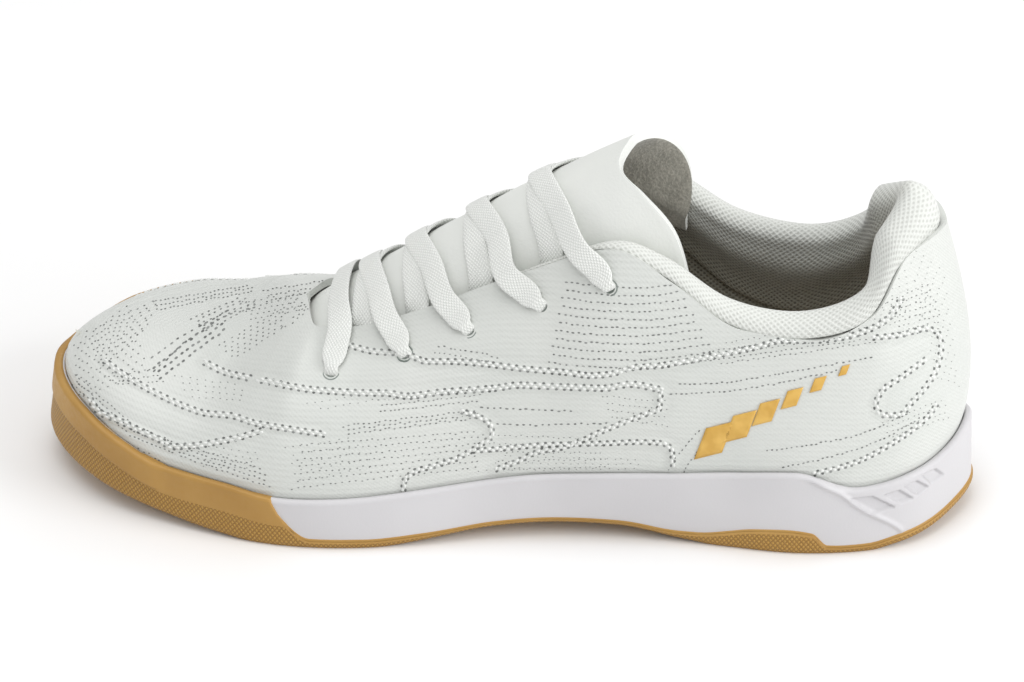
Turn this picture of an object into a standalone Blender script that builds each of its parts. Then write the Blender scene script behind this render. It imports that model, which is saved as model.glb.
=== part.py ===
"""An indoor soccer shoe for the left foot, as an assembly of separate pieces.

Metres, +Z up, +X from heel to toe and +Y to the outer (lateral) side. The shoe stands on z = 0, and the
origin is under the middle of its box. Every surface is worked out column by column: a column climbs the
shoe's wall at one station, and stations run from the heel's middle (0) to the toe's middle (LAST_STATION).
"""

import math

import bmesh
import bpy
import numpy as np
from mathutils import Matrix

# Driving sizes, each measured on the real shoe
LENGTH = 0.232
BALL_WIDTH = 0.0858
HEEL_WIDTH = 0.0617
HEEL_HEIGHT = 0.0762
TONGUE_HEIGHT = 0.0935
FOREFOOT_HEIGHT = 0.0462
SOLE_HEIGHT = 0.0224
TOE_SPRING = 0.0076
ARCH_RISE = 0.0043
HEEL_BEVEL = 0.0040
FLOOR_HEIGHT = 0.0124

# Walls and clearances
UPPER_WALL = 0.0018
TONGUE_WALL = 0.0022
RIM_WALL = 0.0017
OUTSOLE_PLATE = 0.0032
INSOLE_THICKNESS = 0.003
CLEARANCE = 0.0003
FEATHER_INSET = 0.0055
EDGE_ROUND = 0.0010
SIDE_FLARE = 0.003
COLLAR_ROLL = 0.007

# Eyelets and laces
EYELET_HOLE = 0.003
LACE_WIDTH = 0.0062
LACE_THICKNESS = 0.0010
# The eyelets from the toe up: each one's station, and how far it lies below the throat's edge
EYELETS = (
    (11.30, 0.0125),
    (10.10, 0.0110),
    (9.05, 0.0100),
    (7.92, 0.0096),
    (7.03, 0.0092),
)

# A crossing lace's places: across the tongue, and the share of the way to the row before
LACE_PLACES = (
    # across, share
    (0.32, 0.55),
    (0.00, 0.76),
    (-0.26, 0.87),
    (-0.50, 0.94),
)
LACE_LEAVES = 0.42
# The first crossing goes less far, because it stops behind the bar
BAR_SWEEP = 0.70

# Tread and side details
TREAD_DEPTH = 0.0012
TREAD_SLOT = 0.0018
TREAD_PITCH = 0.0095
PANEL_DEPTH = 0.0008
BAND_STEP = 0.0005
GROOVE_WIDTH = 0.0011

COLUMNS_PER_STATION = 2
LOWER_LEVELS = 2
UPPER_LEVELS = 8
LACE_SECTIONS = 12

# Small distances inside the pieces
BOTTOM_RING = 0.012
PLATE_STEP = 0.005
CORNER_DROP = 0.0001
SKIN_OVERLAP = 0.0004
OUTSIDE = 0.003
SPINE_MARGIN = 0.09
COLLAR_HEM = 0.0009
# How far above the upper's edge the collar starts, where that edge falls steeply too
EDGE_LIFT = 0.0006
# What the chords of a curved wall's flat facets take from a gap beside it
FACET_ALLOWANCE = 0.0003
TONGUE_SHOWS = 0.0008
# Over how many stations the tongue's sides move from the wall to the collar, and where they are clear of it
TONGUE_PASSES = 1.1
TONGUE_CLEARS = 0.15
# The share of the tongue's half width that is its free arch
ARCH_SHARE = 0.68

# The outline of the sole, one row a station: x as a share of LENGTH, y of the width there
OUTLINE = (
    # lateral_x, lateral_y, medial_x, medial_y
    (0.0000, -0.016, 0.0000, -0.016),
    (0.0172, 0.178, 0.0172, -0.195),
    (0.0560, 0.365, 0.0560, -0.350),
    (0.1164, 0.470, 0.1164, -0.462),
    (0.1853, 0.506, 0.1853, -0.494),
    (0.2500, 0.483, 0.2500, -0.475),
    (0.3190, 0.438, 0.3190, -0.430),
    (0.3879, 0.402, 0.3879, -0.388),
    (0.4569, 0.388, 0.4569, -0.374),
    (0.5259, 0.404, 0.5259, -0.392),
    (0.5948, 0.443, 0.5948, -0.441),
    (0.6638, 0.473, 0.6681, -0.495),
    (0.7241, 0.473, 0.7328, -0.522),
    (0.7845, 0.443, 0.8017, -0.520),
    (0.8491, 0.386, 0.8664, -0.484),
    (0.9095, 0.312, 0.9224, -0.400),
    (0.9569, 0.206, 0.9655, -0.282),
    (0.9892, 0.074, 0.9922, -0.157),
    (1.0000, -0.058, 1.0000, -0.058),
)
LAST_STATION = len(OUTLINE) - 1
# Where the width changes from HEEL_WIDTH to BALL_WIDTH, as shares of LENGTH
WIDTH_BLEND = (0.22, 0.60)

# The sole's side, one row a station: rim heights as shares of SOLE_HEIGHT, flare of SIDE_FLARE
SIDE = (
    # lateral_rim, medial_rim, flare
    (1.075, 1.075, -0.30),
    (0.950, 0.950, -0.25),
    (0.870, 0.870, -0.15),
    (0.790, 0.820, -0.05),
    (1.000, 1.000, 0.10),
    (0.945, 0.945, 0.30),
    (0.900, 0.905, 0.85),
    (0.868, 0.880, 1.00),
    (0.815, 0.840, 0.60),
    (0.710, 0.770, 0.00),
    (0.630, 0.700, -0.25),
    (0.577, 0.690, -0.20),
    (0.560, 0.780, -0.15),
    (0.640, 1.000, -0.20),
    (0.680, 1.170, -0.20),
    (0.860, 1.160, -0.30),
    (1.010, 1.090, -0.50),
    (1.060, 1.065, -0.75),
    (1.065, 1.065, -0.80),
)

# Heights under the foot: x as a share of LENGTH, the others of the named size of their column
UNDERSIDE = (
    # x, heel_bevel, arch_rise, toe_spring
    (0.000, 1.00, 0.00, 0.00),
    (0.040, 0.53, 0.00, 0.00),
    (0.080, 0.20, 0.00, 0.00),
    (0.105, 0.00, 0.00, 0.00),
    (0.260, 0.00, 0.00, 0.00),
    (0.300, 0.00, 0.25, 0.00),
    (0.370, 0.00, 0.88, 0.00),
    (0.440, 0.00, 1.00, 0.00),
    (0.500, 0.00, 0.86, 0.00),
    (0.570, 0.00, 0.35, 0.00),
    (0.630, 0.00, 0.00, 0.00),
    (0.745, 0.00, 0.00, 0.00),
    (0.790, 0.00, 0.00, 0.13),
    (0.860, 0.00, 0.00, 0.41),
    (0.920, 0.00, 0.00, 0.67),
    (1.000, 0.00, 0.00, 1.00),
)
CUP_FLOOR = (
    # x, thickness from the underside to the cup's floor, as a share of FLOOR_HEIGHT
    (0.00, 0.82),
    (0.08, 0.97),
    (0.15, 1.00),
    (0.35, 0.74),
    (0.48, 0.61),
    (0.66, 0.62),
    (0.80, 0.55),
    (0.92, 0.47),
    (1.00, 0.45),
)
# The height of the gum rubber on the sole's side, as a share of SOLE_HEIGHT
GUM_LINE = (
    # x, lateral, medial
    (0.000, 0.120, 0.120),
    (0.060, 0.110, 0.110),
    (0.130, 0.090, 0.090),
    (0.148, 0.100, 0.100),
    (0.165, 0.255, 0.255),
    (0.190, 0.290, 0.290),
    (0.225, 0.265, 0.265),
    (0.255, 0.200, 0.200),
    (0.290, 0.115, 0.115),
    (0.330, 0.070, 0.070),
    (0.420, 0.060, 0.060),
    (0.520, 0.055, 0.060),
    (0.560, 0.070, 0.090),
    (0.620, 0.100, 0.110),
    (0.690, 0.105, 0.200),
    (0.722, 0.360, 0.900),
    (0.760, 1.200, 1.400),
    (1.000, 1.400, 1.400),
)

# The top edge of the upper from the heel to the front of the throat, one row a station from 0 on
TOP_EDGE = (
    # lateral_x, lateral_y, lateral_z, medial_x, medial_y, medial_z
    (0.0420, -0.012, 1.008, 0.0420, -0.012, 1.008),
    (0.0510, 0.076, 1.014, 0.0515, -0.099, 1.020),
    (0.0800, 0.157, 0.977, 0.0860, -0.181, 0.985),
    (0.1100, 0.262, 0.830, 0.1180, -0.270, 0.850),
    (0.1724, 0.303, 0.751, 0.1750, -0.318, 0.745),
    (0.2457, 0.301, 0.775, 0.2480, -0.316, 0.784),
    (0.3155, 0.274, 0.908, 0.3180, -0.297, 0.930),
    (0.3772, 0.240, 1.001, 0.3780, -0.272, 1.004),
    (0.4608, 0.186, 0.887, 0.4610, -0.230, 0.890),
    (0.5259, 0.163, 0.784, 0.5270, -0.213, 0.787),
    (0.5862, 0.152, 0.690, 0.5880, -0.205, 0.692),
    (0.6530, 0.147, 0.615, 0.6550, -0.203, 0.602),
    (0.6960, 0.128, 0.595, 0.6970, -0.186, 0.572),
    (0.7155, -0.033, 0.6085, 0.7155, -0.033, 0.6085),
)
THROAT_FRONT = len(TOP_EDGE) - 1
# The crown of the toe, one row a station from THROAT_FRONT on
CROWN = (
    # x, y, z as shares of LENGTH, BALL_WIDTH and FOREFOOT_HEIGHT
    (0.7155, -0.033, 1.000),
    (0.7760, -0.036, 0.808),
    (0.8400, -0.042, 0.755),
    (0.8950, -0.050, 0.742),
    (0.9370, -0.058, 0.712),
    (0.9660, -0.062, 0.645),
)

# How the wall leaves the rim and reaches the top, one row a station: degrees, and shares of its rise and run
WALL = (
    # lean, foot_handle, top_angle, top_handle
    (9.0, 0.38, 74.0, 0.30),
    (8.0, 0.38, 74.0, 0.30),
    (6.0, 0.37, 73.0, 0.33),
    (3.0, 0.36, 74.0, 0.34),
    (4.0, 0.36, 78.0, 0.34),
    (4.0, 0.36, 76.0, 0.34),
    (6.0, 0.38, 70.0, 0.35),
    (8.0, 0.40, 64.0, 0.36),
    (7.0, 0.42, 50.0, 0.40),
    (5.0, 0.44, 40.0, 0.44),
    (3.0, 0.46, 36.0, 0.46),
    (2.0, 0.45, 30.0, 0.44),
    (1.0, 0.43, 18.0, 0.42),
    (0.0, 0.42, 0.0, 0.39),
    (0.0, 0.47, 0.0, 0.42),
    (0.0, 0.56, 0.0, 0.50),
    (-1.0, 0.60, 0.0, 0.54),
    (-2.0, 0.62, 0.0, 0.56),
    (-3.0, 0.62, 0.0, 0.56),
)

# The padded collar, one row a station from the heel on: lengths as shares of COLLAR_ROLL
COLLAR = (
    # station, crest_above_edge, crest_depth, roll_depth, drop_inside
    (0.0, 1.86, 0.95, 1.55, 3.4),
    (0.6, 1.70, 0.95, 1.53, 3.4),
    (1.2, 1.30, 0.92, 1.48, 3.4),
    (2.2, 1.16, 0.86, 1.35, 3.2),
    (3.2, 1.00, 0.76, 1.20, 3.0),
    (4.2, 0.80, 0.68, 1.10, 2.9),
    (5.5, 0.72, 0.64, 1.05, 2.8),
    (6.5, 0.52, 0.54, 0.88, 2.4),
    (7.3, 0.26, 0.42, 0.66, 1.9),
    (8.5, 0.10, 0.30, 0.50, 1.3),
)
COLLAR_END = COLLAR[-1][0]

# The tongue, one row a section from its top down: crown as shares of LENGTH, BALL_WIDTH and TONGUE_HEIGHT
TONGUE = (
    # edge_station, tuck, crown_x, crown_y, crown_z, side_rise, crown_half, skew
    (5.90, 0.0030, 0.368, -0.070, 1.000, 0.70, 0.80, 0.0150),
    (6.60, 0.0060, 0.406, -0.060, 0.950, 0.64, 0.76, 0.0080),
    (7.40, 0.0080, 0.446, -0.050, 0.894, 0.57, 0.68, 0.0040),
    (8.10, 0.0100, 0.487, -0.042, 0.840, 0.52, 0.60, 0.0010),
    (8.80, 0.0110, 0.530, -0.036, 0.772, 0.50, 0.58, 0.0000),
    (9.50, 0.0120, 0.573, -0.035, 0.703, 0.48, 0.60, 0.0000),
    (10.30, 0.0120, 0.619, -0.034, 0.626, 0.46, 0.60, 0.0000),
    (11.20, 0.0115, 0.668, -0.033, 0.544, 0.44, 0.60, 0.0000),
    (12.05, 0.0100, 0.712, -0.033, 0.459, 0.44, 0.60, 0.0000),
)
# The tongue's top edge: how many stations it lies ahead of the first section, and over how many that fades
TONGUE_LIP = (
    # across, ahead
    (-1.00, 0.00),
    (-0.34, 0.00),
    (0.00, 0.05),
    (0.17, 0.22),
    (0.34, 0.00),
    (0.51, -0.23),
    (0.68, -0.15),
    (1.00, -0.15),
)
LIP_FADES = 0.7
# The tongue's root runs on under the vamp by this much
ROOT_RUN = 0.007
ROOT_FALL = 0.0040
ROOT_NARROWS = 0.85

# The recessed panels of the heel's sides: stations at their ends, heights as shares of SOLE_HEIGHT
PANELS = (
    # low_from, low_to, high_from, high_to, low, high
    (2.78, 2.42, 3.14, 2.80, 0.48, 0.69),
    (2.34, 2.13, 2.72, 2.46, 0.52, 0.72),
    (2.05, 1.74, 2.38, 2.10, 0.56, 0.76),
    (1.66, 1.47, 2.02, 1.77, 0.61, 0.79),
)
# The ridge that falls from the rim to the heel's bottom edge
RIDGE = (
    # station, height as a share of SOLE_HEIGHT
    (4.80, 0.875),
    (4.30, 0.855),
    (3.60, 0.770),
    (3.25, 0.690),
    (2.85, 0.460),
    (2.40, 0.240),
)
RIDGE_HALF = 0.0009
RIDGE_STEP = 0.0006
# The toe's band: where it ends on each side, and its depth below the rim
BAND_ENDS = (14.1, 12.4)
BAND_DEPTH = 0.0055
# The tread's slots: first and last as shares of LENGTH, sweep back at the sides, margin to the edge
SLOT_RUNS = (
    # first, last, sweep, margin
    (0.085, 0.285, 0.30, -0.004),
    (0.600, 0.930, -0.30, 0.006),
)


# Interpolation

def through(knots, values, at):
    """A monotone cubic through the values at the knots."""
    knots = np.asarray(knots, float)
    values = np.asarray(values, float)
    at = np.asarray(at, float)
    steps = np.diff(knots)
    slopes = np.diff(values) / steps
    tangents = np.concatenate(([slopes[0]], np.zeros(len(knots) - 2), [slopes[-1]]))
    same_way = slopes[:-1] * slopes[1:] > 0
    weights = 2 * steps[1:] + steps[:-1], steps[1:] + 2 * steps[:-1]
    with np.errstate(divide="ignore", invalid="ignore"):
        mean = sum(weights) / (weights[0] / slopes[:-1] + weights[1] / slopes[1:])
    tangents[1:-1] = np.where(same_way, mean, 0)
    index = np.clip(np.searchsorted(knots, at, side="right") - 1, 0, len(steps) - 1)
    share = (at - knots[index]) / steps[index]
    rise = values[index + 1] - values[index]
    first = tangents[index] * steps[index]
    last = tangents[index + 1] * steps[index]
    return values[index] + share * (first + share * (3 * rise - 2 * first - last
                                                     + share * (first + last - 2 * rise)))


def along(table, column, at):
    """One column of a table whose first column holds the knots."""
    rows = np.array(table)
    return through(rows[:, 0], rows[:, column], at)


def at_station(table, column, station):
    """One column of a station table, level where the two sides meet at heel and toe."""
    rows = np.array(table)[:, column]
    rows = np.concatenate(([rows[1]], rows, [rows[-2]]))
    return through(np.arange(-1, len(rows) - 1), rows, station)


def round_the_shoe(table, lateral, medial, station, side):
    """A value that differs by side, read all the way round the shoe."""
    rows = np.array(table)
    ring = np.concatenate((rows[:, lateral], rows[-2:0:-1, medial]))
    count = len(ring)
    ring = np.concatenate((ring[-3:], ring, ring[:3]))
    place = np.where(side > 0, station, count - station)
    return through(np.arange(-3, count + 3), ring, place)


def closed_spline(values):
    """The slopes of a closed cubic spline through evenly numbered values."""
    count = len(values)
    matrix = 4 * np.eye(count) + np.roll(np.eye(count), 1, 0) + np.roll(np.eye(count), -1, 0)
    return np.linalg.solve(matrix, 3 * (np.roll(values, -1) - np.roll(values, 1)))


def width_at(share):
    """The width that the shares of y are taken of, at a share of the length."""
    blend = np.clip((share - WIDTH_BLEND[0]) / (WIDTH_BLEND[1] - WIDTH_BLEND[0]), 0, 1)
    blend = blend * blend * (3 - 2 * blend)
    return HEEL_WIDTH + (BALL_WIDTH - HEEL_WIDTH) * blend


def outline_ring():
    """The outline's points round the shoe, and the spline's slopes there."""
    rows = np.array(OUTLINE)
    share = np.concatenate((rows[:, 0], rows[-2:0:-1, 2]))
    across = np.concatenate((rows[:, 1], rows[-2:0:-1, 3]))
    points = np.stack((share * LENGTH, across * width_at(share)), 1)
    slopes = np.stack([closed_spline(points[:, axis]) for axis in (0, 1)], 1)
    return points, slopes


RING_POINTS, RING_SLOPES = outline_ring()


def outline(station, side):
    """The point of the sole's outline at a station, and the direction straight out of it."""
    count = len(RING_POINTS)
    place = np.where(side > 0, station, count - station) % count
    index = np.floor(place).astype(int) % count
    after = (index + 1) % count
    share = (place - np.floor(place))[..., None]
    rise = RING_POINTS[after] - RING_POINTS[index]
    first, last = RING_SLOPES[index], RING_SLOPES[after]
    curve = 3 * rise - 2 * first - last
    bend = first + last - 2 * rise
    point = RING_POINTS[index] + share * (first + share * (curve + share * bend))
    run = first + share * (2 * curve + 3 * share * bend)
    run /= np.linalg.norm(run, axis=-1, keepdims=True)
    return point, np.stack((-run[..., 1], run[..., 0]), -1)


# Heights

def underside(x):
    """The height of the sole's underside."""
    share = x / LENGTH
    return (HEEL_BEVEL * along(UNDERSIDE, 1, share) + ARCH_RISE * along(UNDERSIDE, 2, share)
            + TOE_SPRING * along(UNDERSIDE, 3, share))


def cup_floor(x):
    """The height of the floor inside the cup of the sole."""
    return underside(x) + FLOOR_HEIGHT * along(CUP_FLOOR, 1, x / LENGTH)


def rim_height(station, side):
    return SOLE_HEIGHT * round_the_shoe(SIDE, 0, 1, station, side)


def gum_height(station, side):
    """How far the gum rubber climbs the sole's side, from its bottom edge."""
    point, _ = outline(station, side)
    share = point[..., 0] / LENGTH
    climb = np.where(side > 0, along(GUM_LINE, 1, share), along(GUM_LINE, 2, share))
    return SOLE_HEIGHT * climb


# The sole's side

def sole_side(station, side, height):
    """A point on the outside of the sole, from the bottom edge (height 0) to the rim (1)."""
    point, out = outline(station, side)
    bottom = underside(point[..., 0])
    rise = rim_height(station, side) - bottom
    rounded = EDGE_ROUND * np.maximum(0, 1 - height * rise / (2 * EDGE_ROUND)) ** 2
    flare = SIDE_FLARE * at_station(SIDE, 2, station) * height
    place = point + out * (flare - rounded)[..., None]
    return np.concatenate((place, (bottom + rise * height)[..., None]), -1)


# The wall of the upper

def unit(vectors):
    return vectors / np.maximum(np.linalg.norm(vectors, axis=-1, keepdims=True), 1e-12)


def top_edge(station, side):
    """The upper's top edge: the collar and throat, then the crown of the toe."""
    lateral, medial = np.array(TOP_EDGE)[:, :3], np.array(TOP_EDGE)[:, 3:]
    rows = np.concatenate((medial[:0:-1], lateral))
    knots = np.arange(-THROAT_FRONT, THROAT_FRONT + 1)
    place = np.clip(station, 0, THROAT_FRONT) * side
    edge = np.stack([through(knots, rows[:, axis], place) for axis in range(3)], -1)
    edge = edge * np.array((LENGTH, BALL_WIDTH, HEEL_HEIGHT))
    crown_knots = np.arange(THROAT_FRONT, LAST_STATION + 1)
    crown_rows = np.array(CROWN)
    place = np.clip(station, THROAT_FRONT, LAST_STATION)
    crown = np.stack([through(crown_knots, crown_rows[:, axis], place) for axis in range(3)], -1)
    crown = crown * np.array((LENGTH, BALL_WIDTH, FOREFOOT_HEIGHT))
    return np.where((station < THROAT_FRONT)[..., None], edge, crown)


def crown_slope(x):
    """How steeply the crown of the toe falls."""
    rows = np.array(CROWN)
    step = 0.002
    heights = [through(rows[:, 0], rows[:, 2], x / LENGTH + share) for share in (-step, step)]
    return FOREFOOT_HEIGHT * (heights[1] - heights[0]) / (2 * step * LENGTH)


def bezier(first, second, third, fourth, share):
    share = share[..., None]
    rest = 1 - share
    return (first * rest ** 3 + 3 * second * share * rest ** 2
            + 3 * third * share ** 2 * rest + fourth * share ** 3)


def wall(station, side, level):
    """The outer face of the upper: level -1 is its foot, 0 the sole's rim and 1 its top edge."""
    station, side, level = np.broadcast_arrays(
        np.asarray(station, float), np.asarray(side, float), np.asarray(level, float))
    point, out = outline(station, side)
    out = np.concatenate((out, np.zeros(out.shape[:-1] + (1,))), -1)
    up = np.array((0.0, 0.0, 1.0))
    rim = sole_side(station, side, np.ones_like(station)) - out * (RIM_WALL + CLEARANCE)
    foot = rim - out * FEATHER_INSET
    foot[..., 2] = cup_floor(foot[..., 0]) + CLEARANCE
    top = top_edge(station, side)
    lean = np.radians(at_station(WALL, 0, station))[..., None]
    rise = out * np.sin(lean) + up * np.cos(lean)
    drop = (rim[..., 2] - foot[..., 2])[..., None]
    low = bezier(foot, foot + out * FEATHER_INSET * 0.7, rim - rise * drop * 0.6, rim,
                 np.clip(level + 1, 0, 1))
    height = np.abs(top - rim)[..., 2:]
    run = np.linalg.norm((top - rim)[..., :2], axis=-1, keepdims=True)
    inward = unit((top - rim) * np.array((1.0, 1.0, 0.0)))
    angle = np.radians(at_station(WALL, 2, station))[..., None]
    reach = run * np.cos(angle) + height * np.sin(angle)
    on_crown = np.clip(station - THROAT_FRONT + 1, 0, 1)[..., None]
    fall = inward[..., :1] * crown_slope(top[..., 0])[..., None] * on_crown
    arrive = unit(inward * np.cos(angle) + up * (np.sin(angle) + fall * np.cos(angle)))
    first = rim + rise * height * at_station(WALL, 1, station)[..., None]
    last = top - arrive * reach * at_station(WALL, 3, station)[..., None]
    high = bezier(rim, first, last, top, np.clip(level, 0, 1))
    return np.where((level < 0)[..., None], low, high)


def wall_normal(station, side, level):
    """The direction straight out of the upper's outer face."""
    step = 2e-3
    climb = wall(station, side, np.minimum(level + step, 1)) - wall(station, side, level - step)
    run = wall(station + step, side, level) - wall(station - step, side, level)
    return unit(np.cross(climb, run) * np.asarray(side, float)[..., None])


def level_from_edge(station, side, distance):
    """The level that lies a distance below the top edge, measured down the wall."""
    levels = np.linspace(1, 0, 33)
    found = []
    for one_station, one_side, one_distance in zip(*np.broadcast_arrays(station, side, distance)):
        line = wall(one_station, one_side, levels)
        run = np.concatenate(([0], np.cumsum(np.linalg.norm(np.diff(line, axis=0), axis=1))))
        found.append(np.interp(one_distance, run, levels))
    return np.array(found)


def near_edge(station, side, distance, depth):
    """A point of the wall by its distance below the top edge and its depth inside the outer face."""
    station, side, distance, depth = np.broadcast_arrays(
        *(np.atleast_1d(np.asarray(value, float)) for value in (station, side, distance, depth)))
    level = level_from_edge(station, side, np.maximum(distance, 0))
    point = wall(station, side, level)
    normal = wall_normal(station, side, level)
    above = unit(wall(station, side, np.ones_like(level)) - wall(station, side, np.full_like(level, 0.97)))
    return point + above * np.maximum(-distance, 0)[:, None] - normal * depth[:, None]


# The tongue

def tongue_depth(station):
    """How far the tongue's sides lie inside the upper's outer face: behind the wall or the collar."""
    behind_wall = UPPER_WALL + CLEARANCE + 3 * FACET_ALLOWANCE
    roll = COLLAR_ROLL * along(COLLAR, 3, np.minimum(station, COLLAR_END))
    share = np.clip((COLLAR_END + TONGUE_PASSES - station) / (TONGUE_PASSES - TONGUE_CLEARS), 0, 1)
    share = share * share * (3 - 2 * share)
    return behind_wall + (roll + CLEARANCE + 4 * FACET_ALLOWANCE - behind_wall) * share


def tongue_value(column, station):
    return along(TONGUE, column, station)


def lip(station, across):
    """The stations of one row of the tongue, whose top follows the curve of its lip."""
    return station + along(TONGUE_LIP, 1, across) * max(0, 1 - (station - TONGUE[0][0]) / LIP_FADES)


def tongue_face(station, across):
    """The tongue's outer face: across runs from -1 (medial edge) over 0 (its crown) to 1 (lateral edge)."""
    station, across = np.broadcast_arrays(
        np.atleast_1d(np.asarray(station, float)), np.atleast_1d(np.asarray(across, float)))
    side = np.where(across < 0, -1.0, 1.0)
    reach = np.abs(across)
    tuck = tongue_value(1, station) * np.clip((reach - ARCH_SHARE) / (1 - ARCH_SHARE), 0, 1)
    hidden = near_edge(station, side, tuck + TONGUE_SHOWS, tongue_depth(station))
    shoulder = near_edge(station, side, TONGUE_SHOWS, tongue_depth(station))
    crown = np.stack([tongue_value(column, station) for column in (2, 3, 4)], -1)
    crown = crown * np.array((LENGTH, BALL_WIDTH, TONGUE_HEIGHT))
    rise = (crown - shoulder) * np.array((0, 0, 1.0)) * tongue_value(5, station)[:, None]
    half = (shoulder - crown) * np.array((0, 1.0, 0)) * tongue_value(6, station)[:, None]
    inwards = 1 - np.clip(reach / ARCH_SHARE, 0, 1)
    arch = bezier(shoulder, shoulder + rise, crown + half, crown, inwards)
    arch[:, 0] += LENGTH * tongue_value(7, station) * side * 4 * inwards * (1 - inwards)
    return np.where((reach > ARCH_SHARE)[:, None], hidden, arch)


def tongue_normal(station, across):
    step = 4e-3
    up = tongue_face(station - step, across) - tongue_face(station + step, across)
    aside = tongue_face(station, across + step) - tongue_face(station, across - step)
    return unit(np.cross(aside, up))


# Meshes

def new_object(name, mesh, collection):
    thing = bpy.data.objects.new(name, mesh)
    collection.objects.link(thing)
    return thing


def mesh_from(name, grids, turned):
    """One mesh from grids of points that meet along shared points: each grid is columns by rows."""
    work = bmesh.new()
    for grid, flip in zip(grids, turned):
        vertices = [[work.verts.new(point) for point in column] for column in grid]
        for left, right in zip(vertices, vertices[1:]):
            for low in range(len(left) - 1):
                corners = (left[low], right[low], right[low + 1], left[low + 1])
                work.faces.new(corners[::-1] if flip else corners)
    bmesh.ops.remove_doubles(work, verts=work.verts, dist=1e-6)
    bmesh.ops.dissolve_degenerate(work, edges=work.edges, dist=1e-7)
    mesh = bpy.data.meshes.new(name)
    work.to_mesh(mesh)
    work.free()
    return mesh


def face_out(mesh):
    work = bmesh.new()
    work.from_mesh(mesh)
    bmesh.ops.recalc_face_normals(work, faces=work.faces)
    work.to_mesh(mesh)
    work.free()


def swept(name, sections, collection):
    """A closed solid through sections of equally many points, with flat ends."""
    work = bmesh.new()
    rings = [[work.verts.new(point) for point in section] for section in sections]
    count = len(rings[0])
    for one, other in zip(rings, rings[1:]):
        for index in range(count):
            after = (index + 1) % count
            work.faces.new((one[index], other[index], other[after], one[after]))
    work.faces.new(rings[0])
    work.faces.new(rings[-1][::-1])
    bmesh.ops.recalc_face_normals(work, faces=work.faces)
    mesh = bpy.data.meshes.new(name)
    work.to_mesh(mesh)
    work.free()
    return new_object(name, mesh, collection)


def ring_body(name, column, collection):
    """A closed body whose columns run from its spine over its top and side to its spine below."""
    stations = station_grid(LAST_STATION)
    grids = [column(stations, np.full_like(stations, side)) for side in (1.0, -1.0)]
    mesh = mesh_from(name, grids, (False, True))
    face_out(mesh)
    return new_object(name, mesh, collection)


def station_grid(last, first=0.0):
    count = round((last - first) * COLUMNS_PER_STATION) + 1
    return np.linspace(first, last, count)


def solidify(thing, thickness):
    modifier = thing.modifiers.new("Wall", "SOLIDIFY")
    modifier.thickness = thickness
    modifier.offset = -1
    modifier.use_even_offset = True


def cut(thing, cutter, operation="DIFFERENCE"):
    """A Boolean with the solver that keeps these thin curved solids closed."""
    modifier = thing.modifiers.new(cutter.name, "BOOLEAN")
    modifier.object = cutter
    modifier.operation = operation
    modifier.solver = "MANIFOLD"
    cutter.hide_render = True
    cutter.display_type = "WIRE"


def material(name, colour, roughness):
    made = bpy.data.materials.new(name)
    made.use_nodes = True
    shader = made.node_tree.nodes["Principled BSDF"]
    shader.inputs["Base Color"].default_value = (*colour, 1.0)
    shader.inputs["Roughness"].default_value = roughness
    shader.inputs["Metallic"].default_value = 0.0
    return made


# The pieces

def spine(station):
    """The middle line of the sole, which stops short of heel and toe."""
    lateral, _ = outline(station, np.ones_like(station))
    medial, _ = outline(station, -np.ones_like(station))
    middle = (lateral + medial) / 2
    x = SPINE_MARGIN * LENGTH + middle[..., 0] * (1 - 2 * SPINE_MARGIN)
    return np.stack((x, middle[..., 1]), -1)


def lay(points, height):
    """Points of the plan at a height."""
    return np.concatenate((points, np.broadcast_to(height, points.shape[:-1])[..., None]), -1)


def sole_column(station, side):
    middle = spine(station)
    foot = wall(station, side, -1.0)
    half_way = (middle + foot[..., :2]) / 2
    rows = [lay(middle, cup_floor(middle[..., 0])), lay(half_way, cup_floor(half_way[..., 0]))]
    for level in np.linspace(-1, 0, 5):
        rows.append(wall(station, side, level) + wall_normal(station, side, level) * CLEARANCE)
    for height in (1.0, 0.75, 0.5, 0.25, 0.1, 0.0):
        rows.append(sole_side(station, side, height))
    point, out = outline(station, side)
    inner = point - out * BOTTOM_RING
    rows.append(lay(inner, underside(inner[..., 0])))
    rows.append(lay(middle, underside(middle[..., 0])))
    return np.stack(rows, 1)


def gum_column(grown):
    """The region that the gum rubber fills: a plate, and a wall up the side as far as the gum line."""
    def column(station, side):
        point, out = outline(station, side)
        middle = spine(station)
        climb = np.maximum(gum_height(station, side), 2 * CLEARANCE)
        bottom = underside(point[..., 0])
        height = climb / (rim_height(station, side) - bottom)
        edge = sole_side(station, side, height)
        skin = RIM_WALL + SKIN_OVERLAP + grown
        step = np.minimum(OUTSOLE_PLATE, climb)
        inner = point - out * BOTTOM_RING
        foot = point - out * (RIM_WALL + SKIN_OVERLAP + PLATE_STEP - grown)
        corner = point - out * skin
        side_out = edge[..., :2] - out * skin
        outside = edge[..., :2] + out * OUTSIDE
        below = point + out * OUTSIDE
        rows = [
            lay(middle, underside(middle[..., 0]) + OUTSOLE_PLATE + grown),
            lay(inner, underside(inner[..., 0]) + OUTSOLE_PLATE + grown),
            lay(foot, underside(foot[..., 0]) + OUTSOLE_PLATE + grown),
            lay(corner, bottom + step - CORNER_DROP + grown),
            lay(side_out, bottom + climb + grown),
            lay(outside, bottom + climb + grown),
            lay(below, bottom - OUTSIDE),
            lay(middle, underside(middle[..., 0]) - OUTSIDE),
        ]
        return np.stack(rows, 1)
    return column


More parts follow.
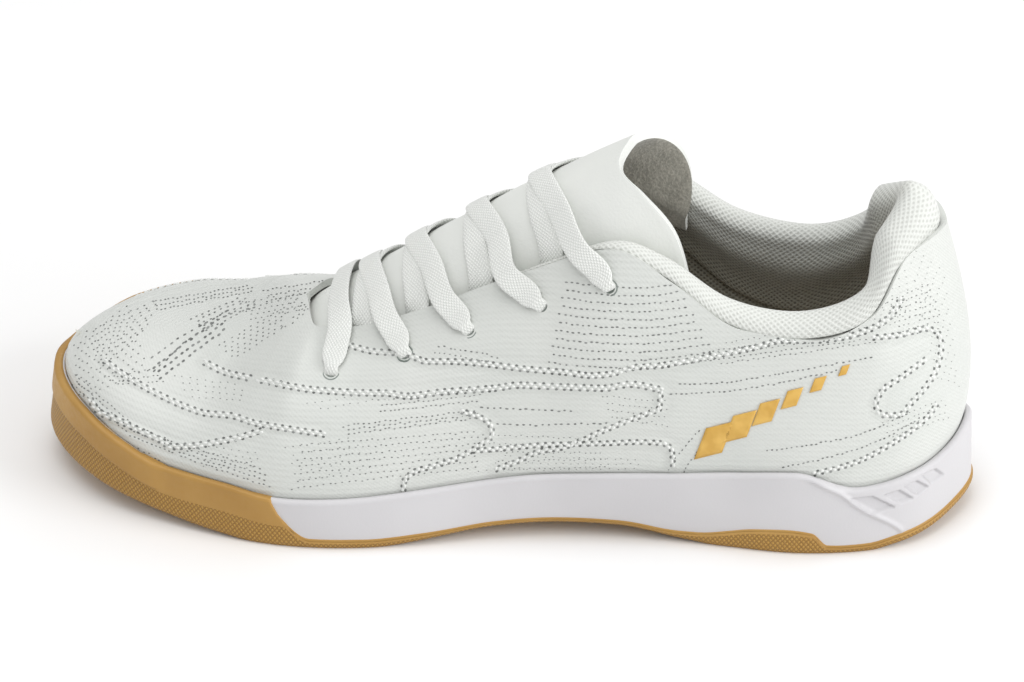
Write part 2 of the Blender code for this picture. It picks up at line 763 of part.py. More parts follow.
def insole_column(station, side):
    middle = spine(station)
    _, out = outline(station, side)
    foot = wall(station, side, -1.0)[..., :2]
    margin = UPPER_WALL + CLEARANCE + 3 * FACET_ALLOWANCE
    inside = foot - out * margin
    low = wall(station, side, -0.42) - wall_normal(station, side, -0.42) * margin
    high = wall(station, side, -0.12) - wall_normal(station, side, -0.12) * margin
    rows = [
        lay(middle, cup_floor(middle[..., 0]) + INSOLE_THICKNESS),
        lay(inside, cup_floor(inside[..., 0]) + INSOLE_THICKNESS + UPPER_WALL / 2),
        high,
        low,
        lay(foot, cup_floor(foot[..., 0]) + margin),
        lay(inside, cup_floor(inside[..., 0]) + CLEARANCE + EDGE_LIFT / 4),
        lay(middle, cup_floor(middle[..., 0]) + CLEARANCE + EDGE_LIFT / 4),
    ]
    return np.stack(rows, 1)


def upper_grid(side):
    stations = station_grid(LAST_STATION)
    levels = np.concatenate((np.linspace(-1, 0, LOWER_LEVELS + 1)[:-1], np.linspace(0, 1, UPPER_LEVELS + 1)))
    return wall(stations[:, None], side, levels[None, :])


def collar_section(station, side):
    """The padded collar's section: over the edge, round its crest and down the inside of the wall."""
    crest, crest_depth, roll, drop = (COLLAR_ROLL * along(COLLAR, column, station) for column in (1, 2, 3, 4))
    behind = UPPER_WALL + CLEARANCE + FACET_ALLOWANCE
    shape = (
        (-EDGE_LIFT, CLEARANCE),
        (-0.50 * crest - EDGE_LIFT, 0.06 * crest_depth),
        (-0.85 * crest - EDGE_LIFT, 0.46 * crest_depth),
        (-1.00 * crest - EDGE_LIFT, crest_depth),
        (-0.72 * crest, crest_depth + 0.85 * (roll - crest_depth) + CLEARANCE),
        (0.00, roll),
        (0.30 * drop, 0.5 * roll + 0.5 * np.maximum(roll, 2 * behind)),
        (0.68 * drop, 0.30 * roll + 0.9 * behind),
        (drop, behind + COLLAR_HEM),
        (drop, behind),
        (0.66 * drop, behind),
        (0.33 * drop, behind),
        (-EDGE_LIFT, behind),
    )
    return np.concatenate([near_edge(station, side, distance, depth) for distance, depth in shape])


def lace_path(points, normals):
    """Sections of a flat lace through points, with its face along the normals."""
    knots = np.arange(len(points))
    at = np.linspace(0, len(points) - 1, LACE_SECTIONS)
    line = np.stack([through(knots, points[:, axis], at) for axis in range(3)], -1)
    face = unit(np.stack([through(knots, normals[:, axis], at) for axis in range(3)], -1))
    run = unit(np.gradient(line, axis=0))
    aside = unit(np.cross(run, face))
    face = np.cross(aside, run)
    half, thick = LACE_WIDTH / 2, LACE_THICKNESS / 2
    flat = 0.8 * half
    shape = ((-half, 0), (-flat, -thick), (flat, -thick), (half, 0), (flat, thick), (-flat, thick))
    return [[centre + one * across + two * over for across, over in shape]
            for centre, one, two in zip(line, aside, face)]


def make_upper(pieces, cutters):
    mesh = mesh_from("upper", (upper_grid(1.0), upper_grid(-1.0)), (True, False))
    upper = new_object("upper", mesh, pieces)
    solidify(upper, UPPER_WALL)
    for side in (1.0, -1.0):
        for number, (station, distance) in enumerate(EYELETS):
            place = near_edge(station, side, distance, UPPER_WALL / 2)[0]
            level = level_from_edge([station], [side], [distance])
            out = wall_normal(np.array([station]), np.array([side]), level)[0]
            ahead = unit(np.cross(out, (0.0, 0.0, 1.0)))
            over = np.cross(ahead, out)
            turns = np.linspace(0, 2 * math.pi, 12, endpoint=False)
            circle = [ahead * math.cos(turn) + over * math.sin(turn) for turn in turns]
            sections = [[place + out * reach + spoke * EYELET_HOLE / 2 for spoke in circle]
                        for reach in (-2 * UPPER_WALL, 2 * UPPER_WALL)]
            cut(upper, swept(f"eyelet_{'lm'[side < 0]}{number + 1}", sections, cutters))
    return upper


def side_strip(name, rows, inner, outer, collection):
    """A strip along the sole's side; each row holds its side and the station and height of its two edges."""
    sections = []
    for side, low_station, low, high_station, high in rows:
        corners = []
        for station, height in ((low_station, low), (high_station, high)):
            at, way = np.array([float(station)]), np.array([float(side)])
            point, out = outline(at, way)
            bottom = underside(point[:, 0])
            share = (height - bottom) / (rim_height(at, way) - bottom)
            face = sole_side(at, way, share)[0]
            aside = np.append(out[0], 0)
            corners.append((face - aside * inner, face + aside * outer))
        (low_in, low_out), (high_in, high_out) = corners
        sections.append((low_in, low_out, high_out, high_in))
    return swept(name, sections, collection)


def heel_panels(side):
    """The edges of each recessed panel, as rows for a strip."""
    for low_from, low_to, high_from, high_to, low, high in PANELS:
        yield [(side, low_from + (low_to - low_from) * share, low * SOLE_HEIGHT,
                high_from + (high_to - high_from) * share, high * SOLE_HEIGHT) for share in (0, 0.5, 1)]


def band_route():
    """Stations and sides round the toe, from the lateral end of the band to the medial one."""
    lateral = np.linspace(BAND_ENDS[0], LAST_STATION, 9)
    medial = np.linspace(LAST_STATION, BAND_ENDS[1], 12)[1:]
    return [(station, 1.0) for station in lateral] + [(station, -1.0) for station in medial]


def rim_at(station, side):
    return float(rim_height(np.array([station]), np.array([side]))[0])


def half_width(x, side):
    rows = np.array(OUTLINE)
    share, across = (rows[:, 0], rows[:, 1]) if side > 0 else (rows[:, 2], rows[:, 3])
    return through(share * LENGTH, across * width_at(share), x)


def tread_slot(name, x, sweep, margin, collection):
    """A channel across the tread, swept from its middle to the sides."""
    left = float(half_width(x, 1.0)) - margin
    right = float(half_width(x, -1.0)) + margin
    middle = (left + right) / 2
    sections = []
    for y in np.linspace(left, right, 7):
        centre = x + sweep * abs(y - middle)
        top = float(underside(np.array(centre))) + TREAD_DEPTH
        front, back = centre + TREAD_SLOT / 2, centre - TREAD_SLOT / 2
        sections.append(((back, y, -OUTSIDE), (front, y, -OUTSIDE), (front, y, top), (back, y, top)))
    return swept(name, sections, collection)


def make_sole(pieces, cutters):
    midsole = ring_body("midsole", sole_column, pieces)
    outsole = new_object("outsole", midsole.data.copy(), pieces)
    cut(outsole, ring_body("gum_region", gum_column(0.0), cutters), "INTERSECT")
    cut(midsole, ring_body("gum_region_with_gap", gum_column(CLEARANCE), cutters))
    for side in (1.0, -1.0):
        for number, rows in enumerate(heel_panels(side)):
            strip = side_strip(f"panel_{'lm'[side < 0]}{number + 1}", rows, PANEL_DEPTH, OUTSIDE, cutters)
            cut(midsole, strip)
        rows = [(side, station, share * SOLE_HEIGHT - RIDGE_HALF, station, share * SOLE_HEIGHT + RIDGE_HALF)
                for station, share in RIDGE]
        cut(midsole, side_strip(f"ridge_{'lm'[side < 0]}", rows, RIDGE_STEP, RIDGE_STEP, cutters), "UNION")
    band = [(side, station, rim_at(station, side) - BAND_DEPTH, station, rim_at(station, side) - CLEARANCE)
            for station, side in band_route()]
    cut(outsole, side_strip("toe_band", band, BAND_STEP, BAND_STEP, cutters), "UNION")
    groove = [(side, station, low - GROOVE_WIDTH, station, low) for side, station, low, _, _ in band]
    cut(outsole, side_strip("toe_groove", groove, BAND_STEP, OUTSIDE, cutters))
    for run, (first, last, sweep, margin) in enumerate(SLOT_RUNS):
        count = round((last - first) * LENGTH / TREAD_PITCH)
        for number in range(count + 1):
            x = first * LENGTH + number * TREAD_PITCH
            cut(outsole, tread_slot(f"slot_{run + 1}_{number + 1}", x, sweep, margin, cutters))
    return midsole, outsole


def make_collar(pieces):
    forward = station_grid(COLLAR_END)
    sides = [(station, 1.0) for station in forward[::-1]] + [(station, -1.0) for station in forward[1:]]
    sections = [collar_section(station, side) for station, side in sides]
    return swept("collar", sections, pieces)


def make_tongue(pieces):
    rows = [row[0] for row in TONGUE]
    across = np.concatenate((np.linspace(1, ARCH_SHARE, 3), np.linspace(ARCH_SHARE, 0, 6)[1:]))
    across = np.concatenate((across, -across[-2::-1]))
    grid = [tongue_face(lip(station, across), across) for station in rows]
    root = grid[-1] + np.array((ROOT_RUN, 0.0, -ROOT_FALL))
    root[:, 1] = grid[-1][:, 1] * ROOT_NARROWS
    grid.append(root)
    mesh = mesh_from("tongue", (np.array(grid),), (True,))
    tongue = new_object("tongue", mesh, pieces)
    solidify(tongue, TONGUE_WALL)
    return tongue


def make_laces(pieces, cutters):
    over = LACE_THICKNESS / 2 + CLEARANCE + FACET_ALLOWANCE
    stations = [station for station, _ in EYELETS]
    reaches = [distance - EYELET_HOLE for _, distance in EYELETS]

    def on_upper(station, side, distance, rise):
        point = near_edge(station, side, distance, -rise)[0]
        level = level_from_edge([station], [side], [distance])
        return point, wall_normal(np.array([station]), np.array([side]), level)[0]

    def on_tongue(station, across, rise):
        normal = tongue_normal(np.array([station]), np.array([across]))[0]
        return tongue_face(station, across)[0] + normal * rise, normal

    def ribbon(name, stops, collection):
        points = np.array([stop[0] for stop in stops])
        normals = np.array([stop[1] for stop in stops])
        return swept(name, lace_path(points, normals), collection)

    first = stations[0]
    reach = reaches[0]
    bar = [on_upper(first, 1.0, reach, over), on_upper(first, 1.0, 0.0005, over * 1.6),
           on_tongue(first, 0.3, over * 2), on_tongue(first, 0.0, over * 1.5),
           on_tongue(first, -0.3, over * 2),
           on_upper(first, -1.0, 0.0005, over * 1.6), on_upper(first, -1.0, reach, over)]
    ribbon("lace_bar", bar, pieces)
    places = [place for place, _ in LACE_PLACES]
    shares = [LACE_LEAVES] + [share for _, share in LACE_PLACES]
    for number in range(len(stations) - 1):
        low, high = stations[number], stations[number + 1]
        sweep = 1 if number else BAR_SWEEP
        names = (f"lace_crossing_{number + 1}", f"lace_under_{number + 1}")
        made = []
        for name, side, layer, group in zip(names, (1.0, -1.0), (1.5, 1.0), (pieces, cutters)):
            between = [high + (low - high) * share * sweep for share in shares]
            stops = [on_upper(high, side, reaches[number + 1], over),
                     on_upper(between[0], side, 0.0005, over * 2.2),
                     on_tongue(between[1], places[0] * side, over * (layer + 0.35)),
                     on_tongue(between[2], places[1] * side, over * (layer + 0.1)),
                     on_tongue(between[3], places[2] * side, over * (layer * 0.5 + 0.6)),
                     on_tongue(between[4], places[3] * side, over * 1.1)]
            made.append(ribbon(name, stops, group))
        cut(made[0], made[1], "UNION")


def middle_of_the_sole():
    """The middle of the sole's box in plan, which becomes the origin."""
    stations = station_grid(LAST_STATION)[:, None]
    heights = np.linspace(0, 1, 5)[None, :]
    sides = [sole_side(*np.broadcast_arrays(stations, side, heights)).reshape(-1, 3) for side in (1.0, -1.0)]
    points = np.concatenate(sides)
    return (points.min(axis=0) + points.max(axis=0)) / 2


def make_shoe():
    for thing in list(bpy.data.objects):
        bpy.data.objects.remove(thing, do_unlink=True)
    pieces = bpy.data.collections.new("indoor_soccer_shoe")
    cutters = bpy.data.collections.new("cutters")
    cutters.hide_render = True
    for collection in (pieces, cutters):
        bpy.context.scene.collection.children.link(collection)
    white = material("white_synthetic", (0.83, 0.85, 0.84), 0.5)
    midsole, outsole = make_sole(pieces, cutters)
    midsole.data.materials.append(material("white_foam", (0.84, 0.84, 0.88), 0.45))
    outsole.data.materials.append(material("gum_rubber", (0.58, 0.34, 0.11), 0.5))
    insole = ring_body("insole", insole_column, pieces)
    insole.data.materials.append(material("tan_insole", (0.55, 0.42, 0.3), 0.9))
    make_upper(pieces, cutters).data.materials.append(white)
    make_collar(pieces).data.materials.append(material("knit", (0.74, 0.75, 0.76), 0.9))
    make_tongue(pieces).data.materials.append(material("tongue_synthetic", (0.86, 0.87, 0.86), 0.5))
    make_laces(pieces, cutters)
    lace = material("white_lace", (0.88, 0.88, 0.9), 0.85)
    for thing in pieces.objects:
        if not thing.data.materials:
            thing.data.materials.append(lace)
        thing.data.shade_smooth()
        thing.data.set_sharp_from_angle(angle=math.radians(40))
    middle = middle_of_the_sole()
    for thing in list(pieces.objects) + list(cutters.objects):
        thing.data.transform(Matrix.Translation((-middle[0], -middle[1], 0.0)))


make_shoe()
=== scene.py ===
"""The looks of an indoor soccer shoe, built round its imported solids. Lengths are in metres."""

import bmesh
import bpy
import numpy as np
from mathutils import Matrix, Vector
from mathutils.bvhtree import BVHTree


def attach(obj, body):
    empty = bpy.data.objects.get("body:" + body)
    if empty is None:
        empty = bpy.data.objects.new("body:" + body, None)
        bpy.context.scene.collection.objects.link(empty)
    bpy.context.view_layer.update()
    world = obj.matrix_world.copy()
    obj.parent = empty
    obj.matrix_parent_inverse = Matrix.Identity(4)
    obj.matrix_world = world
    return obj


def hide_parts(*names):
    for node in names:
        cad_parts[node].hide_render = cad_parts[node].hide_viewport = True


# Sizes in metres, the same as the solids
LENGTH = 0.232
BALL_WIDTH = 0.0858
HEEL_WIDTH = 0.0617
HEEL_HEIGHT = 0.0762
TONGUE_HEIGHT = 0.0935
FOREFOOT_HEIGHT = 0.0462
SOLE_HEIGHT = 0.0224
TOE_SPRING = 0.0076
ARCH_RISE = 0.0043
HEEL_BEVEL = 0.0040
FLOOR_HEIGHT = 0.0124
UPPER_WALL = 0.0018
TONGUE_WALL = 0.0022
RIM_WALL = 0.0017
INSOLE_THICKNESS = 0.003
CLEARANCE = 0.0003
FEATHER_INSET = 0.0055
EDGE_ROUND = 0.0010
SIDE_FLARE = 0.003
COLLAR_ROLL = 0.007
EYELET_HOLE = 0.003
LACE_WIDTH = 0.0062
LACE_THICKNESS = 0.0010
# The eyelets from the toe up: each one's station, and how far it lies below the throat's edge
EYELETS = (
    (11.30, 0.0125),
    (10.10, 0.0110),
    (9.05, 0.0100),
    (7.92, 0.0096),
    (7.03, 0.0092),
)
COLLAR_HEM = 0.0009
EDGE_LIFT = 0.0006
FACET_ALLOWANCE = 0.0003
TONGUE_SHOWS = 0.0008
TONGUE_PASSES = 1.1
TONGUE_CLEARS = 0.15
ARCH_SHARE = 0.68
LACE_LEAVES = 0.42
BAR_SWEEP = 0.70
LIP_FADES = 0.7

# The outline of the sole, one row a station: x as a share of LENGTH, y of the width there
OUTLINE = (
    # lateral_x, lateral_y, medial_x, medial_y
    (0.0000, -0.016, 0.0000, -0.016),
    (0.0172, 0.178, 0.0172, -0.195),
    (0.0560, 0.365, 0.0560, -0.350),
    (0.1164, 0.470, 0.1164, -0.462),
    (0.1853, 0.506, 0.1853, -0.494),
    (0.2500, 0.483, 0.2500, -0.475),
    (0.3190, 0.438, 0.3190, -0.430),
    (0.3879, 0.402, 0.3879, -0.388),
    (0.4569, 0.388, 0.4569, -0.374),
    (0.5259, 0.404, 0.5259, -0.392),
    (0.5948, 0.443, 0.5948, -0.441),
    (0.6638, 0.473, 0.6681, -0.495),
    (0.7241, 0.473, 0.7328, -0.522),
    (0.7845, 0.443, 0.8017, -0.520),
    (0.8491, 0.386, 0.8664, -0.484),
    (0.9095, 0.312, 0.9224, -0.400),
    (0.9569, 0.206, 0.9655, -0.282),
    (0.9892, 0.074, 0.9922, -0.157),
    (1.0000, -0.058, 1.0000, -0.058),
)
LAST_STATION = len(OUTLINE) - 1
# Where the width changes from HEEL_WIDTH to BALL_WIDTH, as shares of LENGTH
WIDTH_BLEND = (0.22, 0.60)
# The sole's side, one row a station: rim heights as shares of SOLE_HEIGHT, flare of SIDE_FLARE
SIDE = (
    # lateral_rim, medial_rim, flare
    (1.075, 1.075, -0.30),
    (0.950, 0.950, -0.25),
    (0.870, 0.870, -0.15),
    (0.790, 0.820, -0.05),
    (1.000, 1.000, 0.10),
    (0.945, 0.945, 0.30),
    (0.900, 0.905, 0.85),
    (0.868, 0.880, 1.00),
    (0.815, 0.840, 0.60),
    (0.710, 0.770, 0.00),
    (0.630, 0.700, -0.25),
    (0.577, 0.690, -0.20),
    (0.560, 0.780, -0.15),
    (0.640, 1.000, -0.20),
    (0.680, 1.170, -0.20),
    (0.860, 1.160, -0.30),
    (1.010, 1.090, -0.50),
    (1.060, 1.065, -0.75),
    (1.065, 1.065, -0.80),
)
# Heights under the foot: x as a share of LENGTH, the others of the named size of their column
UNDERSIDE = (
    # x, heel_bevel, arch_rise, toe_spring
    (0.000, 1.00, 0.00, 0.00),
    (0.040, 0.53, 0.00, 0.00),
    (0.080, 0.20, 0.00, 0.00),
    (0.105, 0.00, 0.00, 0.00),
    (0.260, 0.00, 0.00, 0.00),
    (0.300, 0.00, 0.25, 0.00),
    (0.370, 0.00, 0.88, 0.00),
    (0.440, 0.00, 1.00, 0.00),
    (0.500, 0.00, 0.86, 0.00),
    (0.570, 0.00, 0.35, 0.00),
    (0.630, 0.00, 0.00, 0.00),
    (0.745, 0.00, 0.00, 0.00),
    (0.790, 0.00, 0.00, 0.13),
    (0.860, 0.00, 0.00, 0.41),
    (0.920, 0.00, 0.00, 0.67),
    (1.000, 0.00, 0.00, 1.00),
)
CUP_FLOOR = (
    # x, thickness from the underside to the cup's floor, as a share of FLOOR_HEIGHT
    (0.00, 0.82),
    (0.08, 0.97),
    (0.15, 1.00),
    (0.35, 0.74),
    (0.48, 0.61),
    (0.66, 0.62),
    (0.80, 0.55),
    (0.92, 0.47),
    (1.00, 0.45),
)
# The height of the gum rubber on the sole's side, as a share of SOLE_HEIGHT
GUM_LINE = (
    # x, lateral, medial
    (0.000, 0.120, 0.120),
    (0.060, 0.110, 0.110),
    (0.130, 0.090, 0.090),
    (0.148, 0.100, 0.100),
    (0.165, 0.255, 0.255),
    (0.190, 0.290, 0.290),
    (0.225, 0.265, 0.265),
    (0.255, 0.200, 0.200),
    (0.290, 0.115, 0.115),
    (0.330, 0.070, 0.070),
    (0.420, 0.060, 0.060),
    (0.520, 0.055, 0.060),
    (0.560, 0.070, 0.090),
    (0.620, 0.100, 0.110),
    (0.690, 0.105, 0.200),
    (0.722, 0.360, 0.900),
    (0.760, 1.200, 1.400),
    (1.000, 1.400, 1.400),
)
# The top edge of the upper from the heel to the front of the throat, one row a station from 0 on
TOP_EDGE = (
    # lateral_x, lateral_y, lateral_z, medial_x, medial_y, medial_z
    (0.0420, -0.012, 1.008, 0.0420, -0.012, 1.008),
    (0.0510, 0.076, 1.014, 0.0515, -0.099, 1.020),
    (0.0800, 0.157, 0.977, 0.0860, -0.181, 0.985),
    (0.1100, 0.262, 0.830, 0.1180, -0.270, 0.850),
    (0.1724, 0.303, 0.751, 0.1750, -0.318, 0.745),
    (0.2457, 0.301, 0.775, 0.2480, -0.316, 0.784),
    (0.3155, 0.274, 0.908, 0.3180, -0.297, 0.930),
    (0.3772, 0.240, 1.001, 0.3780, -0.272, 1.004),
    (0.4608, 0.186, 0.887, 0.4610, -0.230, 0.890),
    (0.5259, 0.163, 0.784, 0.5270, -0.213, 0.787),
    (0.5862, 0.152, 0.690, 0.5880, -0.205, 0.692),
    (0.6530, 0.147, 0.615, 0.6550, -0.203, 0.602),
    (0.6960, 0.128, 0.595, 0.6970, -0.186, 0.572),
    (0.7155, -0.033, 0.6085, 0.7155, -0.033, 0.6085),
)
THROAT_FRONT = len(TOP_EDGE) - 1
# The crown of the toe, one row a station from THROAT_FRONT on
CROWN = (
    # x, y, z as shares of LENGTH, BALL_WIDTH and FOREFOOT_HEIGHT
    (0.7155, -0.033, 1.000),
    (0.7760, -0.036, 0.808),
    (0.8400, -0.042, 0.755),
    (0.8950, -0.050, 0.742),
    (0.9370, -0.058, 0.712),
    (0.9660, -0.062, 0.645),
)
# How the wall leaves the rim and reaches the top, a row a station: degrees, and shares of rise and run
WALL = (
    # lean, foot_handle, top_angle, top_handle
    (9.0, 0.38, 74.0, 0.30),
    (8.0, 0.38, 74.0, 0.30),
    (6.0, 0.37, 73.0, 0.33),
    (3.0, 0.36, 74.0, 0.34),
    (4.0, 0.36, 78.0, 0.34),
    (4.0, 0.36, 76.0, 0.34),
    (6.0, 0.38, 70.0, 0.35),
    (8.0, 0.40, 64.0, 0.36),
    (7.0, 0.42, 50.0, 0.40),
    (5.0, 0.44, 40.0, 0.44),
    (3.0, 0.46, 36.0, 0.46),
    (2.0, 0.45, 30.0, 0.44),
    (1.0, 0.43, 18.0, 0.42),
    (0.0, 0.42, 0.0, 0.39),
    (0.0, 0.47, 0.0, 0.42),
    (0.0, 0.56, 0.0, 0.50),
    (-1.0, 0.60, 0.0, 0.54),
    (-2.0, 0.62, 0.0, 0.56),
    (-3.0, 0.62, 0.0, 0.56),
)
# The padded collar, one row a station from the heel on: lengths as shares of COLLAR_ROLL
COLLAR = (
    # station, crest_above_edge, crest_depth, roll_depth, drop_inside
    (0.0, 1.86, 0.95, 1.55, 3.4),
    (0.6, 1.70, 0.95, 1.53, 3.4),
    (1.2, 1.30, 0.92, 1.48, 3.4),
    (2.2, 1.16, 0.86, 1.35, 3.2),
    (3.2, 1.00, 0.76, 1.20, 3.0),
    (4.2, 0.80, 0.68, 1.10, 2.9),
    (5.5, 0.72, 0.64, 1.05, 2.8),
    (6.5, 0.52, 0.54, 0.88, 2.4),
    (7.3, 0.26, 0.42, 0.66, 1.9),
    (8.5, 0.10, 0.30, 0.50, 1.3),
)
COLLAR_END = COLLAR[-1][0]
# The tongue, one row a section from its top down: crown as shares of LENGTH, BALL_WIDTH and TONGUE_HEIGHT
TONGUE = (
    # edge_station, tuck, crown_x, crown_y, crown_z, side_rise, crown_half, skew
    (5.90, 0.0030, 0.368, -0.070, 1.000, 0.70, 0.80, 0.0150),
    (6.60, 0.0060, 0.406, -0.060, 0.950, 0.64, 0.76, 0.0080),
    (7.40, 0.0080, 0.446, -0.050, 0.894, 0.57, 0.68, 0.0040),
    (8.10, 0.0100, 0.487, -0.042, 0.840, 0.52, 0.60, 0.0010),
    (8.80, 0.0110, 0.530, -0.036, 0.772, 0.50, 0.58, 0.0000),
    (9.50, 0.0120, 0.573, -0.035, 0.703, 0.48, 0.60, 0.0000),
    (10.30, 0.0120, 0.619, -0.034, 0.626, 0.46, 0.60, 0.0000),
    (11.20, 0.0115, 0.668, -0.033, 0.544, 0.44, 0.60, 0.0000),
    (12.05, 0.0100, 0.712, -0.033, 0.459, 0.44, 0.60, 0.0000),
)
# The tongue's top edge: how many stations it lies ahead of the first section, and over how many that fades
TONGUE_LIP = (
    # across, ahead
    (-1.00, 0.00),
    (-0.34, 0.00),
    (0.00, 0.05),
    (0.17, 0.22),
    (0.34, 0.00),
    (0.51, -0.23),
    (0.68, -0.15),
    (1.00, -0.15),
)
# The toe's band: where it ends on each side
BAND_ENDS = (14.1, 12.4)
# A crossing lace's places: across the tongue, and the share of the way to the row before
LACE_PLACES = (
    # across, share
    (0.32, 0.55),
    (0.00, 0.76),
    (-0.26, 0.87),
    (-0.50, 0.94),
)

# Curves and surfaces, the same as the solids

def cubic(first, last, start, end, share):
    """A cubic between two values, with its slopes at the start and the end."""
    rise = last - first
    bend = start + end - 2 * rise
    return first + share * (start + share * (3 * rise - 2 * start - end + share * bend))


def eased(share):
    """A share that starts and stops softly."""
    return share * share * (3 - 2 * share)


def through(knots, values, at):
    """A monotone cubic through the values at the knots."""
    knots = np.asarray(knots, float)
    values = np.asarray(values, float)
    at = np.asarray(at, float)
    steps = np.diff(knots)
    slopes = np.diff(values) / steps
    tangents = np.concatenate(([slopes[0]], np.zeros(len(knots) - 2), [slopes[-1]]))
    same_way = slopes[:-1] * slopes[1:] > 0
    weights = 2 * steps[1:] + steps[:-1], steps[1:] + 2 * steps[:-1]
    with np.errstate(divide="ignore", invalid="ignore"):
        mean = sum(weights) / (weights[0] / slopes[:-1] + weights[1] / slopes[1:])
    tangents[1:-1] = np.where(same_way, mean, 0)
    index = np.clip(np.searchsorted(knots, at, side="right") - 1, 0, len(steps) - 1)
    share = (at - knots[index]) / steps[index]
    first, last = tangents[index] * steps[index], tangents[index + 1] * steps[index]
    return cubic(values[index], values[index + 1], first, last, share)


def along(table, column, at):
    """One column of a table whose first column holds the knots."""
    rows = np.array(table)
    return through(rows[:, 0], rows[:, column], at)


def at_station(table, column, station):
    """One column of a station table, level where the two sides meet at heel and toe."""
    rows = np.array(table)[:, column]
    rows = np.concatenate(([rows[1]], rows, [rows[-2]]))
    return through(np.arange(-1, len(rows) - 1), rows, station)


def round_the_shoe(table, lateral, medial, station, side):
    """A value that differs by side, read all the way round the shoe."""
    rows = np.array(table)
    ring = np.concatenate((rows[:, lateral], rows[-2:0:-1, medial]))
    count = len(ring)
    ring = np.concatenate((ring[-3:], ring, ring[:3]))
    place = np.where(side > 0, station, count - station)
    return through(np.arange(-3, count + 3), ring, place)


def closed_spline(values):
    """The slopes of a closed cubic spline through evenly numbered values."""
    count = len(values)
    matrix = 4 * np.eye(count) + np.roll(np.eye(count), 1, 0) + np.roll(np.eye(count), -1, 0)
    return np.linalg.solve(matrix, 3 * (np.roll(values, -1) - np.roll(values, 1)))


def width_at(share):
    """The width that the shares of y are taken of, at a share of the length."""
    blend = np.clip((share - WIDTH_BLEND[0]) / (WIDTH_BLEND[1] - WIDTH_BLEND[0]), 0, 1)
    return HEEL_WIDTH + (BALL_WIDTH - HEEL_WIDTH) * eased(blend)


def outline_ring():
    """The outline's points round the shoe, and the spline's slopes there."""
    rows = np.array(OUTLINE)
    share = np.concatenate((rows[:, 0], rows[-2:0:-1, 2]))
    across = np.concatenate((rows[:, 1], rows[-2:0:-1, 3]))
    points = np.stack((share * LENGTH, across * width_at(share)), 1)
    slopes = np.stack([closed_spline(points[:, axis]) for axis in (0, 1)], 1)
    return points, slopes


RING_POINTS, RING_SLOPES = outline_ring()


def outline(station, side):
    """The point of the sole's outline at a station, and the direction straight out of it."""
    count = len(RING_POINTS)
    place = np.where(side > 0, station, count - station) % count
    index = np.floor(place).astype(int) % count
    after = (index + 1) % count
    share = (place - np.floor(place))[..., None]
    rise = RING_POINTS[after] - RING_POINTS[index]
    first, last = RING_SLOPES[index], RING_SLOPES[after]
    curve = 3 * rise - 2 * first - last
    bend = first + last - 2 * rise
    point = RING_POINTS[index] + share * (first + share * (curve + share * bend))
    run = first + share * (2 * curve + 3 * share * bend)
    run /= np.linalg.norm(run, axis=-1, keepdims=True)
    return point, np.stack((-run[..., 1], run[..., 0]), -1)


def underside(x):
    """The height of the sole's underside."""
    share = x / LENGTH
    return (HEEL_BEVEL * along(UNDERSIDE, 1, share) + ARCH_RISE * along(UNDERSIDE, 2, share)
            + TOE_SPRING * along(UNDERSIDE, 3, share))


def cup_floor(x):
    """The height of the floor inside the cup of the sole."""
    return underside(x) + FLOOR_HEIGHT * along(CUP_FLOOR, 1, x / LENGTH)


def rim_height(station, side):
    return SOLE_HEIGHT * round_the_shoe(SIDE, 0, 1, station, side)


def gum_height(station, side):
    """How far the gum rubber climbs the sole's side, from its bottom edge."""
    point, _ = outline(station, side)
    share = point[..., 0] / LENGTH
    climb = np.where(side > 0, along(GUM_LINE, 1, share), along(GUM_LINE, 2, share))
    return SOLE_HEIGHT * climb


def sole_side(station, side, height):
    """A point on the outside of the sole, from the bottom edge (height 0) to the rim (1)."""
    point, out = outline(station, side)
    bottom = underside(point[..., 0])
    rise = rim_height(station, side) - bottom
    rounded = EDGE_ROUND * np.maximum(0, 1 - height * rise / (2 * EDGE_ROUND)) ** 2
    flare = SIDE_FLARE * at_station(SIDE, 2, station) * height
    return lay(point + out * (flare - rounded)[..., None], bottom + rise * height)


def unit(vectors):
    return vectors / np.maximum(np.linalg.norm(vectors, axis=-1, keepdims=True), 1e-12)


def lay(points, height):
    """Points of the plan at a height."""
    return np.concatenate((points, np.broadcast_to(height, points.shape[:-1])[..., None]), -1)


def top_edge(station, side):
    """The upper's top edge: the collar and throat, then the crown of the toe."""
    lateral, medial = np.array(TOP_EDGE)[:, :3], np.array(TOP_EDGE)[:, 3:]
    rows = np.concatenate((medial[:0:-1], lateral))
    knots = np.arange(-THROAT_FRONT, THROAT_FRONT + 1)
    place = np.clip(station, 0, THROAT_FRONT) * side
    edge = np.stack([through(knots, rows[:, axis], place) for axis in range(3)], -1)
    edge = edge * np.array((LENGTH, BALL_WIDTH, HEEL_HEIGHT))
    crown_knots = np.arange(THROAT_FRONT, LAST_STATION + 1)
    crown_rows = np.array(CROWN)
    place = np.clip(station, THROAT_FRONT, LAST_STATION)
    crown = np.stack([through(crown_knots, crown_rows[:, axis], place) for axis in range(3)], -1)
    crown = crown * np.array((LENGTH, BALL_WIDTH, FOREFOOT_HEIGHT))
    return np.where((station < THROAT_FRONT)[..., None], edge, crown)


def crown_slope(x):
    """How steeply the crown of the toe falls."""
    rows = np.array(CROWN)
    step = 0.002
    heights = [through(rows[:, 0], rows[:, 2], x / LENGTH + share) for share in (-step, step)]
    return FOREFOOT_HEIGHT * (heights[1] - heights[0]) / (2 * step * LENGTH)


def bezier(first, second, third, fourth, share):
    share = share[..., None]
    rest = 1 - share
    return (first * rest ** 3 + 3 * second * share * rest ** 2
            + 3 * third * share ** 2 * rest + fourth * share ** 3)


